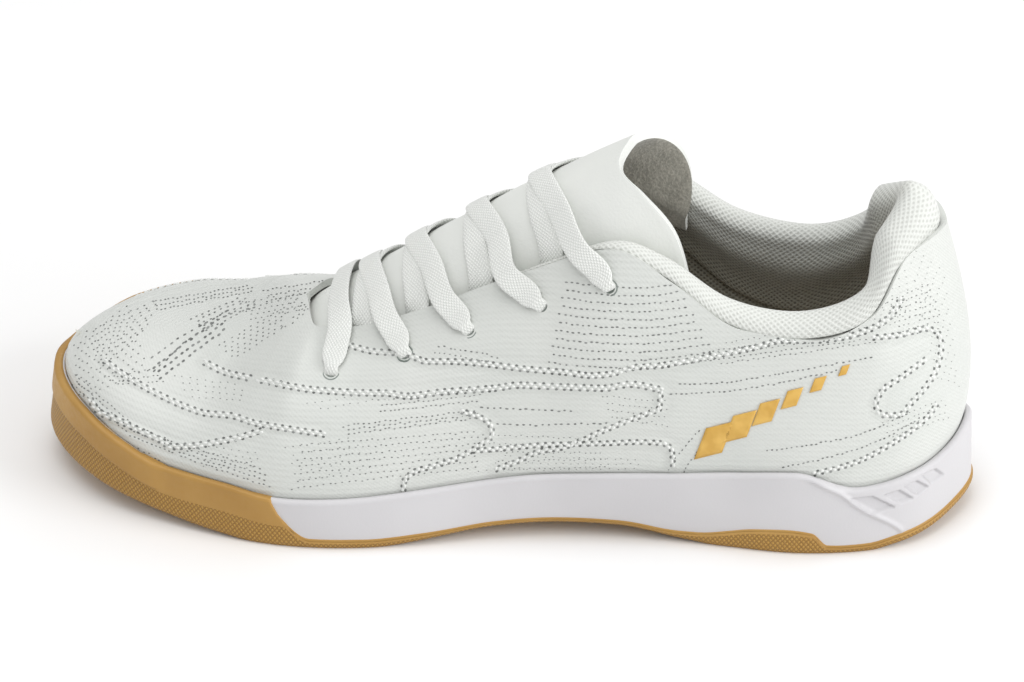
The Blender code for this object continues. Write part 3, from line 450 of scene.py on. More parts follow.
def wall(station, side, level):
    """The outer face of the upper: level -1 is its foot, 0 the sole's rim and 1 its top edge."""
    station, side, level = np.broadcast_arrays(
        np.asarray(station, float), np.asarray(side, float), np.asarray(level, float))
    _, out = outline(station, side)
    out = lay(out, 0.0)
    up = np.array((0.0, 0.0, 1.0))
    rim = sole_side(station, side, np.ones_like(station)) - out * (RIM_WALL + CLEARANCE)
    foot = rim - out * FEATHER_INSET
    foot[..., 2] = cup_floor(foot[..., 0]) + CLEARANCE
    top = top_edge(station, side)
    lean = np.radians(at_station(WALL, 0, station))[..., None]
    rise = out * np.sin(lean) + up * np.cos(lean)
    drop = (rim[..., 2] - foot[..., 2])[..., None]
    low = bezier(foot, foot + out * FEATHER_INSET * 0.7, rim - rise * drop * 0.6, rim,
                 np.clip(level + 1, 0, 1))
    height = np.abs(top - rim)[..., 2:]
    run = np.linalg.norm((top - rim)[..., :2], axis=-1, keepdims=True)
    inward = unit((top - rim) * np.array((1.0, 1.0, 0.0)))
    angle = np.radians(at_station(WALL, 2, station))[..., None]
    reach = run * np.cos(angle) + height * np.sin(angle)
    on_crown = np.clip(station - THROAT_FRONT + 1, 0, 1)[..., None]
    fall = inward[..., :1] * crown_slope(top[..., 0])[..., None] * on_crown
    arrive = unit(inward * np.cos(angle) + up * (np.sin(angle) + fall * np.cos(angle)))
    first = rim + rise * height * at_station(WALL, 1, station)[..., None]
    last = top - arrive * reach * at_station(WALL, 3, station)[..., None]
    high = bezier(rim, first, last, top, np.clip(level, 0, 1))
    return np.where((level < 0)[..., None], low, high)


def wall_normal(station, side, level):
    """The direction straight out of the upper's outer face."""
    step = 2e-3
    climb = wall(station, side, np.minimum(level + step, 1)) - wall(station, side, level - step)
    run = wall(station + step, side, level) - wall(station - step, side, level)
    return unit(np.cross(climb, run) * np.asarray(side, float)[..., None])


def level_from_edge(station, side, distance):
    """The level that lies a distance below the top edge, measured down the wall."""
    levels = np.linspace(1, 0, 49)
    lines = wall(station[:, None], side[:, None], levels[None, :])
    steps = np.linalg.norm(np.diff(lines, axis=1), axis=-1)
    runs = np.concatenate((np.zeros((len(steps), 1)), np.cumsum(steps, axis=1)), 1)
    return np.array([np.interp(one, run, levels) for one, run in zip(distance, runs)])


def near_edge(station, side, distance, depth):
    """A point of the wall by its distance below the top edge and its depth inside the outer face."""
    station, side, distance, depth = np.broadcast_arrays(
        *(np.atleast_1d(np.asarray(value, float)) for value in (station, side, distance, depth)))
    level = level_from_edge(station, side, np.maximum(distance, 0))
    point = wall(station, side, level)
    normal = wall_normal(station, side, level)
    above = unit(wall(station, side, np.ones_like(level)) - wall(station, side, np.full_like(level, 0.97)))
    return point + above * np.maximum(-distance, 0)[:, None] - normal * depth[:, None]


def tongue_depth(station):
    """How far the tongue's sides lie inside the upper's outer face: behind the wall or the collar."""
    behind_wall = UPPER_WALL + CLEARANCE + 3 * FACET_ALLOWANCE
    roll = COLLAR_ROLL * along(COLLAR, 3, np.minimum(station, COLLAR_END))
    share = np.clip((COLLAR_END + TONGUE_PASSES - station) / (TONGUE_PASSES - TONGUE_CLEARS), 0, 1)
    return behind_wall + (roll + CLEARANCE + 4 * FACET_ALLOWANCE - behind_wall) * eased(share)


def tongue_value(column, station):
    return along(TONGUE, column, station)


def lip(station, across):
    """The stations of one row of the tongue, whose top follows the curve of its lip."""
    return station + along(TONGUE_LIP, 1, across) * max(0, 1 - (station - TONGUE[0][0]) / LIP_FADES)


def tongue_face(station, across):
    """The tongue's outer face: across runs from -1 (medial edge) over 0 (its crown) to 1 (lateral edge)."""
    station, across = np.broadcast_arrays(
        np.atleast_1d(np.asarray(station, float)), np.atleast_1d(np.asarray(across, float)))
    side = np.where(across < 0, -1.0, 1.0)
    reach = np.abs(across)
    tuck = tongue_value(1, station) * np.clip((reach - ARCH_SHARE) / (1 - ARCH_SHARE), 0, 1)
    hidden = near_edge(station, side, tuck + TONGUE_SHOWS, tongue_depth(station))
    shoulder = near_edge(station, side, TONGUE_SHOWS, tongue_depth(station))
    crown = np.stack([tongue_value(column, station) for column in (2, 3, 4)], -1)
    crown = crown * np.array((LENGTH, BALL_WIDTH, TONGUE_HEIGHT))
    rise = (crown - shoulder) * np.array((0, 0, 1.0)) * tongue_value(5, station)[:, None]
    half = (shoulder - crown) * np.array((0, 1.0, 0)) * tongue_value(6, station)[:, None]
    inwards = 1 - np.clip(reach / ARCH_SHARE, 0, 1)
    arch = bezier(shoulder, shoulder + rise, crown + half, crown, inwards)
    arch[:, 0] += LENGTH * tongue_value(7, station) * side * 4 * inwards * (1 - inwards)
    return np.where((reach > ARCH_SHARE)[:, None], hidden, arch)


def tongue_normal(station, across):
    step = 4e-3
    up = tongue_face(station - step, across) - tongue_face(station + step, across)
    aside = tongue_face(station, across + step) - tongue_face(station, across - step)
    return unit(np.cross(aside, up))


def collar_section(station, side):
    """The padded collar's section: over the edge, round its crest and down the inside of the wall."""
    crest, crest_depth, roll, drop = (COLLAR_ROLL * along(COLLAR, column, station)
                                      for column in (1, 2, 3, 4))
    behind = UPPER_WALL + CLEARANCE + FACET_ALLOWANCE
    shape = (
        (-EDGE_LIFT, CLEARANCE),
        (-0.50 * crest - EDGE_LIFT, 0.06 * crest_depth),
        (-0.85 * crest - EDGE_LIFT, 0.46 * crest_depth),
        (-1.00 * crest - EDGE_LIFT, crest_depth),
        (-0.72 * crest, crest_depth + 0.85 * (roll - crest_depth) + CLEARANCE),
        (0.00, roll),
        (0.30 * drop, 0.5 * roll + 0.5 * np.maximum(roll, 2 * behind)),
        (0.68 * drop, 0.30 * roll + 0.9 * behind),
        (drop, behind + COLLAR_HEM),
        (drop, behind),
        (0.66 * drop, behind),
        (0.33 * drop, behind),
        (-EDGE_LIFT, behind),
    )
    return np.concatenate([near_edge(station, side, distance, depth) for distance, depth in shape])

# Where the solids' origin lies in the tables' frame: the middle of the sole
MIDDLE = np.array((0.1158126, -0.0020499, 0.0))

# The page: features are drawn on a flat page seen from the outer side, in page units
PAGE_AZIMUTH = np.radians(-5.9)
PAGE_ELEVATION = np.radians(30.3)
PAGE_DISTANCE = 1.1
PAGE_TARGET = np.array((0.115, 0.0, 0.036))
PAGE_UNIT = 1 / 4048
PAGE_CENTRE = np.array((510.5, 346.5))
FRAME_WIDTH = 1024
FRAME_CENTRE = np.array((512.0, 341.0))
SENSOR = 36.0

COLUMNS = 14
UPPER_ROWS = 66
FOOT_ROWS = 6
MIRRORED = (1.0, -1.0)

# Bands on the upper, two rows of holes with raised nubs between: a row's page points, the other's offset
BANDS = (
    (((102, 362), (121, 376), (141, 388), (162, 399), (184, 409), (206, 416), (230, 418), (252, 425),
      (273, 429), (298, 433), (325, 437)), 5.2),
    (((202, 364), (226, 375.5), (245.5, 380), (269, 384.5), (290, 389), (312, 392.5), (332, 394),
      (358, 395.5),
      (387, 396), (408, 399), (441, 395), (495, 391), (519, 388), (571, 390), (604, 391), (630, 387),
      (663, 393)), 5.6),
    (((346, 347), (374, 354), (403, 356), (427, 364), (450, 364), (481, 366), (521, 371), (566, 375),
      (590, 378), (608, 377), (637, 369.5), (660, 368), (700, 361), (755, 350), (784, 343), (813, 343),
      (843, 340), (872, 331), (892, 318), (904, 299)), 5.0),
    (((92, 397), (100, 409), (120, 418), (141, 428), (162, 438), (173, 444), (193, 443), (218, 439),
      (237, 435), (262, 428)), -5.4),
    (((460, 413), (476, 418), (488, 425), (490, 434), (481, 441.5), (457, 456), (436, 463), (413, 470),
      (402, 481), (401, 492)), 4.4),
    (((495, 472), (519, 463), (542, 453), (561, 450), (585, 441.5), (601, 434), (623, 425), (644, 417),
      (661, 410), (663, 392)), 4.4),
    (((872, 340), (901, 337), (925, 331), (936, 334), (939, 348), (934, 369), (925, 384), (910, 401),
      (898, 413), (884, 413), (878, 404), (884, 392), (904, 378), (928, 360)), 4.4),
    (((813, 476), (851, 466), (872, 457), (898, 442), (910, 434), (931, 416), (939, 404)), 4.0),
    (((472, 453), (509, 450), (542, 447), (580, 446), (613, 445), (637, 444), (660, 445), (670, 451),
      (671, 467)), 4.0),
)
# Rows of short dashes: the first and last row's page points, how many rows, their pitch and their size
ROWS = (
    (((565, 282), (600, 286), (640, 288), (680, 284)), ((548, 362), (590, 367), (640, 368), (716, 360)),
     11, 5.8, 1.5),
    (((480, 407), (510, 409), (545, 410), (575, 411)), ((493, 424), (530, 425), (570, 424), (608, 423)),
     2, 6.4, 1.5),
    (((678, 384), (720, 383), (772, 375), (872, 357)), ((667, 395), (720, 392), (790, 381), (843, 369)),
     2, 5.4, 1.3),
    (((766, 451), (810, 445), (860, 434), (910, 413)), ((780, 468), (830, 457), (880, 440), (920, 418)),
     2, 5.0, 1.2),
    (((151, 359), (174, 341), (206, 323), (230, 309)), ((150, 375), (189, 339), (230, 315), (255, 307)),
     2, 8.0, 2.0),
    (((700, 430), (680, 452), (668, 470), (664, 486)), ((712, 432), (694, 456), (684, 472), (682, 486)),
     2, 5.0, 1.0),
    (((438, 346), (460, 350), (480, 353), (502, 359)), ((430, 352), (460, 356), (485, 361), (508, 366)),
     2, 5.4, 1.1),
)
BAND_PITCH = 7.6
# The heel's foam: recessed plates and the ridge that falls from the rim
FOAM_PLATES = (
    ((847, 499), (872, 496), (896.5, 507.5), (872, 514.5)),
    ((883, 495.5), (900, 490), (914.5, 498.5), (901, 504)),
    ((903, 486.5), (917, 480.5), (929.5, 486.5), (918, 496)),
    ((921, 475.5), (936, 468.5), (945, 474.5), (931, 484)),
)
FOAM_RIDGE = ((803, 475), (827, 487.5), (841, 494), (858, 506.5), (872, 514), (893, 524), (903, 531))
FOAM_RIDGE_RISE = 0.0007
FOAM_PLATE_DEPTH = 0.0008
FOAM_LAP = 0.0012
FOAM_ROWS = 46
HEEL_END = 5
HEEL_COLUMNS = 64
GUM_PLATE = 0.0034
GUM_ROWS = 20
GUM_TOP_ROWS = 10
GROOVE_DROP = 0.0006
GROOVE_STEPS = (-0.0006, -0.0003, -0.00012, 0.00012, 0.0003, 0.0006)
MARK_REACH = 0.0016
SKIN = 0.00015
SPINE_MARGIN = 0.09
TOE_BAND_DEPTH = 0.0055
BAND_STEP = 0.0005
COLLAR_SECTIONS = 150
COLLAR_POINTS = 48
TONGUE_ROWS = 70
LACE_STEPS = 96
LACE_CORNERS = 20
EYELET_SQUEEZE = 0.55
CHANCE = np.random.default_rng(7)
COLLAR_EASES = 2.2
COLLAR_PASSES = 80
COLLAR_SINKS = 0.0006
TONGUE_FAR_WING = (-1.06, -1.12, -1.18, -1.24)
EYELET_CORNERS = 28
HOLE_CORNERS = 20
# A ring's profile: radius, height over the face
EYELET_RINGS = ((0.0023, -0.0004), (0.00215, 0.00012), (0.0019, 0.00014), (0.0017, -0.00010),
                (0.0002, -0.0005))
WORLD_LIGHT = 0.62
LAMPS = (
    ("key", (0.35, 0.9, 1.2), 0.8, 1.6),
    ("heel_side", (-1.1, 0.35, 0.55), 0.7, 8.0),
    ("top", (0.15, 0.1, 1.4), 1.0, 6.6),
    ("back", (-0.2, -1.2, 0.8), 0.9, 1.8),
)
# Fields of scattered holes: corners on the page, rows, holes a row, size
FIELDS = (
    ((72, 345), (130, 300), (150, 372), (78, 402), 12, 9, 0.75),
    ((84, 330), (160, 296), (146, 330), (100, 372), 7, 9, 0.8),
    ((150, 366), (214, 318), (232, 328), (160, 382), 3, 12, 1.45),
    ((188, 318), (240, 296), (262, 304), (206, 332), 5, 9, 0.95),
    ((216, 345), (300, 296), (312, 312), (236, 360), 6, 13, 0.75),
    ((240, 300), (330, 288), (330, 306), (250, 322), 5, 14, 0.7),
    ((170, 372), (240, 382), (250, 404), (190, 400), 4, 9, 0.6),
    ((98, 430), (150, 452), (170, 468), (140, 462), 3, 9, 0.8),
    ((190, 440), (262, 452), (254, 470), (200, 470), 4, 9, 0.6),
    ((280, 444), (352, 434), (380, 470), (300, 484), 5, 8, 0.6),
    ((776, 306), (880, 300), (935, 318), (800, 330), 3, 22, 0.55),
    ((905, 240), (945, 268), (960, 390), (935, 380), 16, 5, 0.5),
    ((862, 268), (898, 262), (935, 300), (880, 320), 7, 6, 0.5),
    ((720, 340), (860, 318), (900, 326), (740, 352), 2, 26, 0.6),
    ((510, 452), (640, 458), (640, 470), (470, 474), 3, 20, 0.5),
    ((300, 400), (360, 392), (380, 402), (320, 414), 2, 8, 0.55),
    ((76, 372), (135, 424), (128, 436), (71, 386), 3, 15, 0.8),
    ((135, 424), (180, 442), (176, 456), (128, 437), 3, 11, 0.85),
    ((180, 442), (262, 466), (272, 490), (176, 457), 4, 18, 0.85),
    ((300, 442), (478, 428), (480, 470), (290, 492), 7, 30, 0.75),
    ((378, 398), (480, 386), (480, 404), (380, 414), 3, 22, 0.8),
    ((340, 424), (478, 408), (480, 420), (350, 436), 3, 26, 0.85),
    ((150, 300), (250, 284), (256, 292), (158, 312), 3, 24, 0.8),
    ((262, 288), (330, 278), (334, 290), (268, 304), 3, 16, 0.8),
    ((100, 376), (150, 366), (170, 384), (120, 386), 3, 10, 0.7),
    ((480, 430), (600, 436), (610, 470), (500, 474), 5, 22, 0.6),
    ((600, 392), (668, 398), (668, 430), (610, 420), 4, 12, 0.6),
    ((700, 350), (850, 330), (880, 344), (720, 366), 4, 30, 0.75),
    ((880, 420), (945, 396), (950, 420), (890, 440), 4, 12, 0.55),
    ((885, 300), (930, 280), (945, 330), (900, 340), 8, 9, 0.7),
)
# A made-up geometric mark: a falling row of slanted plates, as corners on the page
MARK_FIRST = ((706, 428), (734, 421), (722, 452), (694, 459))
MARK_LAST = ((842, 366), (850, 364), (846, 374), (838, 376))
MARK_PLATES = 6


# The page's axes, and its eye
PAGE_BACK = np.array((np.sin(PAGE_AZIMUTH) * np.cos(PAGE_ELEVATION),
                      np.cos(PAGE_AZIMUTH) * np.cos(PAGE_ELEVATION), np.sin(PAGE_ELEVATION)))
PAGE_RIGHT = unit(np.cross((0, 0, 1.0), PAGE_BACK))
PAGE_UP = np.cross(PAGE_BACK, PAGE_RIGHT)
PAGE_EYE = PAGE_TARGET + PAGE_BACK * PAGE_DISTANCE


def to_page(points):
    """Page coordinates of points in the tables' frame."""
    offset = points - PAGE_EYE
    depth = -(offset @ PAGE_BACK)[..., None] * PAGE_UNIT / PAGE_DISTANCE
    return PAGE_CENTRE + np.stack((offset @ PAGE_RIGHT, -(offset @ PAGE_UP)), -1) / depth


def page_ray(page):
    """The directions from the page's eye through page points, in the tables' frame."""
    off = (page - PAGE_CENTRE) * PAGE_UNIT / PAGE_DISTANCE
    return unit(off[..., :1] * PAGE_RIGHT - off[..., 1:] * PAGE_UP - PAGE_BACK)


def resampled(points, step, start=0.5):
    """Points every step along a polyline, and the directions there."""
    points = np.array(points, float)
    runs = np.concatenate(([0], np.cumsum(np.linalg.norm(np.diff(points, axis=0), axis=1))))
    at = np.arange(start * step, runs[-1], step)
    knots = np.arange(len(points))
    share = np.interp(at, runs, knots)
    line = np.stack([through(knots, points[:, axis], share) for axis in (0, 1)], -1)
    ahead = np.stack([through(knots, points[:, axis], np.minimum(share + 0.05, knots[-1]))
                      for axis in (0, 1)], -1)
    behind = np.stack([through(knots, points[:, axis], np.maximum(share - 0.05, 0))
                       for axis in (0, 1)], -1)
    return line, unit(ahead - behind)


def distance_to(page, lines):
    """The distance on the page from each point to the nearest of the polylines."""
    flat = page.reshape(-1, 2)
    nearest = np.full(len(flat), 1e3)
    for line in lines:
        points, _ = resampled(line, 4.0, 0.0)
        for start in range(0, len(points) - 1):
            first, last = points[start], points[start + 1]
            along_it = last - first
            share = np.clip((flat - first) @ along_it / (along_it @ along_it), 0, 1)
            gap = np.linalg.norm(flat - first - share[:, None] * along_it, axis=1)
            nearest = np.minimum(nearest, gap)
    return nearest.reshape(page.shape[:-1])


def shifted(points, offset):
    """A polyline moved sideways on the page."""
    line, ways = resampled(points, 3.0, 0.0)
    return line + np.stack((ways[:, 1], -ways[:, 0]), -1) * offset


# Relief of the upper: bands stand a little proud between soft grooves
BAND_CENTRES = [shifted(points, width / 2) for points, width in BANDS]
BAND_HALF = 4.6
BAND_LIFT = 0.00022
BAND_GROOVE = 0.00016
PUFF = 0.00018
PUFF_REACH = 16.0


def relief(page):
    """How far the upper's face stands out of its plain form, from its place on the page."""
    gap = distance_to(page, BAND_CENTRES)
    band = BAND_LIFT * np.exp(-(gap / BAND_HALF) ** 4)
    groove = -BAND_GROOVE * np.exp(-((gap - BAND_HALF * 1.5) / 2.0) ** 2)
    return band + groove + PUFF * (1 - np.exp(-(gap / PUFF_REACH) ** 2))


# Meshes

def placed(name, points, faces, uvs=None, smooth=True, groups=None):
    """A mesh object from points in the tables' frame."""
    mesh = bpy.data.meshes.new(name)
    mesh.from_pydata((np.asarray(points) - MIDDLE).tolist(), [], [list(map(int, face)) for face in faces])
    mesh.validate()
    if uvs is not None:
        layer = mesh.uv_layers.new(name="UVMap")
        corners = np.zeros(len(mesh.loops), np.int32)
        mesh.loops.foreach_get("vertex_index", corners)
        layer.data.foreach_set("uv", np.asarray(uvs, np.float32)[corners].ravel())
    if groups is not None:
        mesh.polygons.foreach_set("material_index", np.asarray(groups, np.int32))
    if smooth:
        mesh.shade_smooth()
    thing = bpy.data.objects.new(name, mesh)
    bpy.context.scene.collection.objects.link(thing)
    return thing


def grid_faces(rows, columns, turned=False):
    """Quads of a grid of points, row by row."""
    row, column = np.meshgrid(np.arange(rows - 1), np.arange(columns - 1), indexing="ij")
    first = row * columns + column
    quads = np.stack((first, first + columns, first + columns + 1, first + 1), -1).reshape(-1, 4)
    return quads[:, ::-1] if turned else quads


def tube_faces(rows, count, start=0, capped=True):
    """Faces of a tube of closed rows, with its two ends."""
    faces = []
    if capped:
        end = start + rows * count - 1
        faces = [tuple(range(start, start + count)), tuple(range(end, end - count, -1))]
    for row in range(rows - 1):
        one = start + row * count
        for column in range(count):
            after = (column + 1) % count
            faces.append((one + column, one + count + column, one + count + after, one + after))
    return faces


def flat_uvs(run, across):
    """Coordinates along and across a grid of points."""
    return np.stack(np.broadcast_arrays(run, across), -1).reshape(-1, 2)


def both_sides(grids, runs, turned):
    """Points, faces and coordinates of a grid on each side; one side's faces are turned over."""
    faces = [grid_faces(*grid.shape[:2], turned=side == turned) + number * grid[..., 0].size
             for number, (side, grid) in enumerate(zip(MIRRORED, grids))]
    uvs = [flat_uvs(run[:, None] * side, lengths(grid, 1))
           for side, grid, run in zip(MIRRORED, grids, runs)]
    points = [grid.reshape(-1, 3) for grid in grids]
    return np.concatenate(points), np.concatenate(faces), np.concatenate(uvs)


def lengths(points, axis):
    """The running length along one axis of a grid of points."""
    steps = np.linalg.norm(np.diff(points, axis=axis), axis=-1)
    start = np.zeros_like(np.take(steps, [0], axis=axis))
    return np.concatenate((start, np.cumsum(steps, axis=axis)), axis)


def weld(thing, distance=2e-5):
    step = thing.modifiers.new("weld", "WELD")
    step.merge_threshold = distance


def apply_modifiers(thing):
    """Leaves the evaluated mesh in place of the modifiers."""
    graph = bpy.context.evaluated_depsgraph_get()
    mesh = bpy.data.meshes.new_from_object(thing.evaluated_get(graph))
    thing.modifiers.clear()
    thing.data = mesh


def finish_piece(thing, slot, materials, *nodes):
    """Gives a piece its materials and its place in the frame."""
    slots = thing.data.materials
    while len(slots) < len(materials):
        slots.append(None)
    for number, one in enumerate(materials):
        slots[number] = one
    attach(thing, "root")
    if nodes:
        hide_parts(*nodes)
    return thing


# Sizes of the dressing

# The marks on the upper: corners of one, the heights of the holes' rims and of the nubs' feet and domes
MARK_CORNERS = 8
HOLE_RISE = 0.00004
NUB_RISE = -0.00005
NUB_DOME = 0.00042
# A dome's second ring: shares of its radius and of its height
DOME_SHOULDER = (0.62, 0.8)
# The gold plates: cells along and across, the height of their face and the thickness of their film
PLATE_CELLS = 7
PLATE_RISE = 0.00016
PLATE_FILM = 0.00012
# Half lengths and widths, on the page, of the bands' holes and nubs
BAND_HOLE = (1.6, 1.15)
BAND_NUB = (2.3, 1.6)
# How a mark must face the page, as a cosine, and the angle over which the upper's edges stay sharp
FACING_LEAST = 0.12
UPPER_SHARP = np.radians(50)
# The tongue: its edge's roundness, and how its root goes on under the upper
TONGUE_EDGE = 0.0007
TONGUE_ROOT = np.array((0.007, 0.0, -0.004))
TONGUE_ROOT_NARROWS = 0.85
# The laces: how square their sections are, how much they thicken where they narrow, and how far
# inside the throat's edge they leave the upper
LACE_SQUARE = (0.55, 0.75)
LACE_GATHERS = 1.2
LACE_EDGE = 0.0005
# The foam: its lip's rise and two places on it, the shoulder under it, how far its faces turn in, and
# the highest that its lower edge may lie, as a share of the side
FOAM_LIP_RISE = np.array((0, 0, 0.00018))
FOAM_LIP_PLACES = (0.75, 0.35)
FOAM_SHOULDER = 0.0006
FOAM_TURNS_IN = (0.0026, 0.012)
FOAM_MOST_CUT = 0.8
# The rubber's side: where it turns under and in, as distances out and up, and its thickness
GUM_FOOT = ((-0.003, 0.0004), (-0.0008, 0.00025))
GUM_BACK = ((-0.0002, 0.00012), (-0.0012, 0.00005))
GUM_THICKNESS = 0.0003
# The toe band: the shares of the side between which its groove lies, the softness of its lower edge and
# the stations over which it begins
GROOVE_SHARES = (0.02, 0.96)
BAND_SOFT = 0.0005
TOE_BLEND = 0.25
# The insole: levels of the wall that its rim reaches, rows across its floor and its edge's dip
INSOLE_LEVELS = (-0.42, -0.12)
INSOLE_ROWS = 12
INSOLE_DIP = np.array((0, 0, -0.0003))
# The floor's half size
FLOOR_HALF = 3.0
# The stations of the collar's sections on one side, and the stations over which its smoothing fades
COLLAR_KNOTS = (0.0, 1.2, 2.2, 3.2, 4.2, 5.2, 6.2, 7.2, 7.9, 8.5)
COLLAR_FADE = 0.4

# Materials

# The wave texture's scales for the upper's ribs and the gum's hatching, and the hatching's slant
RIB_SCALE = 1000 / (2 * np.pi) * 1.3
HATCH_SCALE = 1000 / (2 * np.pi) * 2.2
HATCH_SLANT = np.radians(38)


class Nodes:
    """A material's node tree, built from short calls."""

    def __init__(self, name, colour, roughness, **settings):
        self.material = bpy.data.materials.new(name)
        self.material.use_nodes = True
        self.tree = self.material.node_tree
        self.shader = self.tree.nodes["Principled BSDF"]
        self.shader.inputs["Base Color"].default_value = (*colour, 1)
        self.shader.inputs["Roughness"].default_value = roughness
        for key, value in settings.items():
            self.shader.inputs[key.replace("_", " ")].default_value = value

    def add(self, kind, links=(), **settings):
        node = self.tree.nodes.new(kind)
        for key, value in settings.items():
            if key in node.bl_rna.properties:
                setattr(node, key, value)
            else:
                node.inputs[key.replace("_", " ")].default_value = value
        for key, source in dict(links).items():
            self.tree.links.new(source, node.inputs[key])
        return node

    def place(self, kind="UV", scale=(1, 1, 1), turn=0.0):
        """Coordinates in metres times a scale."""
        if kind == "UV":
            source = self.add("ShaderNodeUVMap", uv_map="UVMap").outputs[0]
        else:
            source = self.add("ShaderNodeTexCoord").outputs[kind]
        node = self.add("ShaderNodeMapping", {"Vector": source}, Scale=scale, Rotation=(0, 0, turn))
        return node.outputs[0]

    def noise(self, place, scale, detail=2.0):
        return self.add("ShaderNodeTexNoise", {"Vector": place}, Scale=scale, Detail=detail).outputs["Fac"]

    def lattice(self, pitch_u, pitch_v, kind="UV"):
        """Distances to a staggered lattice of points with these pitches."""
        place = self.place(kind, (1 / pitch_u, 1 / pitch_v, 1))
        turned = self.add("ShaderNodeMapping", {"Vector": place}, Rotation=(0, 0, np.pi / 4),
                          Scale=(1, 1, 1))
        return self.add("ShaderNodeTexVoronoi", {"Vector": turned.outputs[0]}, voronoi_dimensions="2D",
                        Scale=np.sqrt(2), Randomness=0.0).outputs["Distance"]

    def wave(self, place, scale, distortion=0.0, direction="Y"):
        return self.add("ShaderNodeTexWave", {"Vector": place}, bands_direction=direction, Scale=scale,
                        Distortion=distortion, Detail=1.0).outputs["Fac"]

    def ramp(self, source, *stops):
        node = self.add("ShaderNodeValToRGB", {"Fac": source})
        elements = node.color_ramp.elements
        for index, (at, value) in enumerate(stops):
            element = elements[index] if index < 2 else elements.new(at)
            element.position = at
            colour = value if isinstance(value, tuple) else (value,) * 3
            element.color = (*colour, 1)
        return node.outputs["Color"]

    def mix(self, share, first, second):
        node = self.add("ShaderNodeMix", data_type="RGBA")
        for key, value in ((0, share), (6, first), (7, second)):
            if isinstance(value, bpy.types.NodeSocket):
                self.tree.links.new(value, node.inputs[key])
            else:
                node.inputs[key].default_value = (*value, 1) if isinstance(value, tuple) else value
        return node.outputs[2]

    def maths(self, operation, first, second):
        node = self.add("ShaderNodeMath", operation=operation)
        for key, value in enumerate((first, second)):
            if isinstance(value, bpy.types.NodeSocket):
                self.tree.links.new(value, node.inputs[key])
            else:
                node.inputs[key].default_value = value
        return node.outputs[0]

    def colour(self, source):
        self.tree.links.new(source, self.shader.inputs["Base Color"])

    def rough(self, source):
        self.tree.links.new(source, self.shader.inputs["Roughness"])

    def bump(self, *heights):
        """Bumps, each a height source and its depth in metres."""
        normal = None
        for source, depth in heights:
            links = {"Height": source}
            if normal is not None:
                links["Normal"] = normal
            normal = self.add("ShaderNodeBump", links, Strength=1.0, Distance=depth).outputs[0]
        self.tree.links.new(normal, self.shader.inputs["Normal"])


def synthetic_material():
    made = Nodes("white_synthetic", (0.69, 0.71, 0.685), 0.46, Coat_Weight=0.12, Coat_Roughness=0.35,
                 Sheen_Weight=0.08)
    ribs = made.wave(made.place(), RIB_SCALE, 1.5)
    knit = made.lattice(0.0013, 0.0010)
    fine = made.noise(made.place("UV", (1, 2.4, 1)), 2600.0, 3.0)
    broad = made.noise(made.place("Object"), 38.0, 2.0)
    patches = made.ramp(broad, (0.3, 0.0), (0.7, 1.0))
    made.colour(made.mix(patches, (0.63, 0.65, 0.62), (0.67, 0.685, 0.655)))
    made.rough(made.ramp(fine, (0.3, 0.40), (0.75, 0.56)))
    made.bump((ribs, 0.00006), (knit, 0.00008), (fine, 0.00006))
    return made.material


def knit_material():
    made = Nodes("knit", (0.70, 0.71, 0.69), 0.82, Sheen_Weight=0.35, Sheen_Roughness=0.5)
    dots = made.lattice(0.0017, 0.0014)
    inner = made.add("ShaderNodeSeparateXYZ", {"Vector": made.place()}).outputs[1]
    # Darker from 12 to 30 mm along the second coordinate, which on the collar runs down its inside and on
    # the upper's lining runs up from the foot: painted shade inside the shoe, tinted brown as painted
    # bounce light from the insole.
    depth = made.ramp(inner, (0.012, 0.0), (0.030, 1.0))
    thread = made.noise(made.place("UV", (1, 1, 1)), 1800.0, 2.0)
    # The knit's holes are darker than the threads round them, which is painted shade in the holes. light
    # and dark are the same knit, dark carrying the painted shade inside the shoe.
    hole = made.ramp(dots, (0.18, 0.0), (0.40, 1.0))
    light = made.mix(hole, (0.58, 0.59, 0.555), (0.72, 0.735, 0.70))
    dark = made.mix(hole, (0.24, 0.225, 0.17), (0.52, 0.51, 0.44))
    made.colour(made.mix(depth, light, dark))
    made.bump((dots, 0.00035), (thread, 0.00008))
    return made.material


def felt_material():
    made = Nodes("tongue_felt", (0.33, 0.325, 0.29), 0.95, Sheen_Weight=0.5, Sheen_Roughness=0.6)
    fine = made.noise(made.place("Object"), 1400.0, 4.0)
    broad = made.noise(made.place("Object"), 160.0, 3.0)
    mixed = made.maths("ADD", made.maths("MULTIPLY", fine, 0.6), made.maths("MULTIPLY", broad, 0.4))
    made.colour(made.ramp(mixed, (0.32, (0.27, 0.26, 0.215)), (0.68, (0.54, 0.52, 0.445))))
    made.bump((fine, 0.0002), (broad, 0.0003))
    return made.material


def tongue_material():
    made = Nodes("tongue_synthetic", (0.72, 0.735, 0.71), 0.5, Coat_Weight=0.1, Coat_Roughness=0.4)
    fine = made.noise(made.place("Object"), 1500.0, 3.0)
    broad = made.noise(made.place("Object"), 60.0, 2.0)
    made.colour(made.ramp(broad, (0.3, (0.74, 0.755, 0.725)), (0.7, (0.79, 0.805, 0.77))))
    made.rough(made.ramp(fine, (0.3, 0.44), (0.7, 0.6)))
    made.bump((fine, 0.00007))
    return made.material


def foam_material():
    made = Nodes("white_foam", (0.665, 0.665, 0.69), 0.5, Coat_Weight=0.08, Coat_Roughness=0.4)
    fine = made.noise(made.place("Object"), 1900.0, 2.0)
    broad = made.noise(made.place("Object"), 30.0, 2.0)
    made.colour(made.ramp(broad, (0.3, (0.595, 0.585, 0.60)), (0.7, (0.63, 0.62, 0.635))))
    made.rough(made.ramp(fine, (0.3, 0.44), (0.7, 0.58)))
    made.bump((fine, 0.00003))
    return made.material


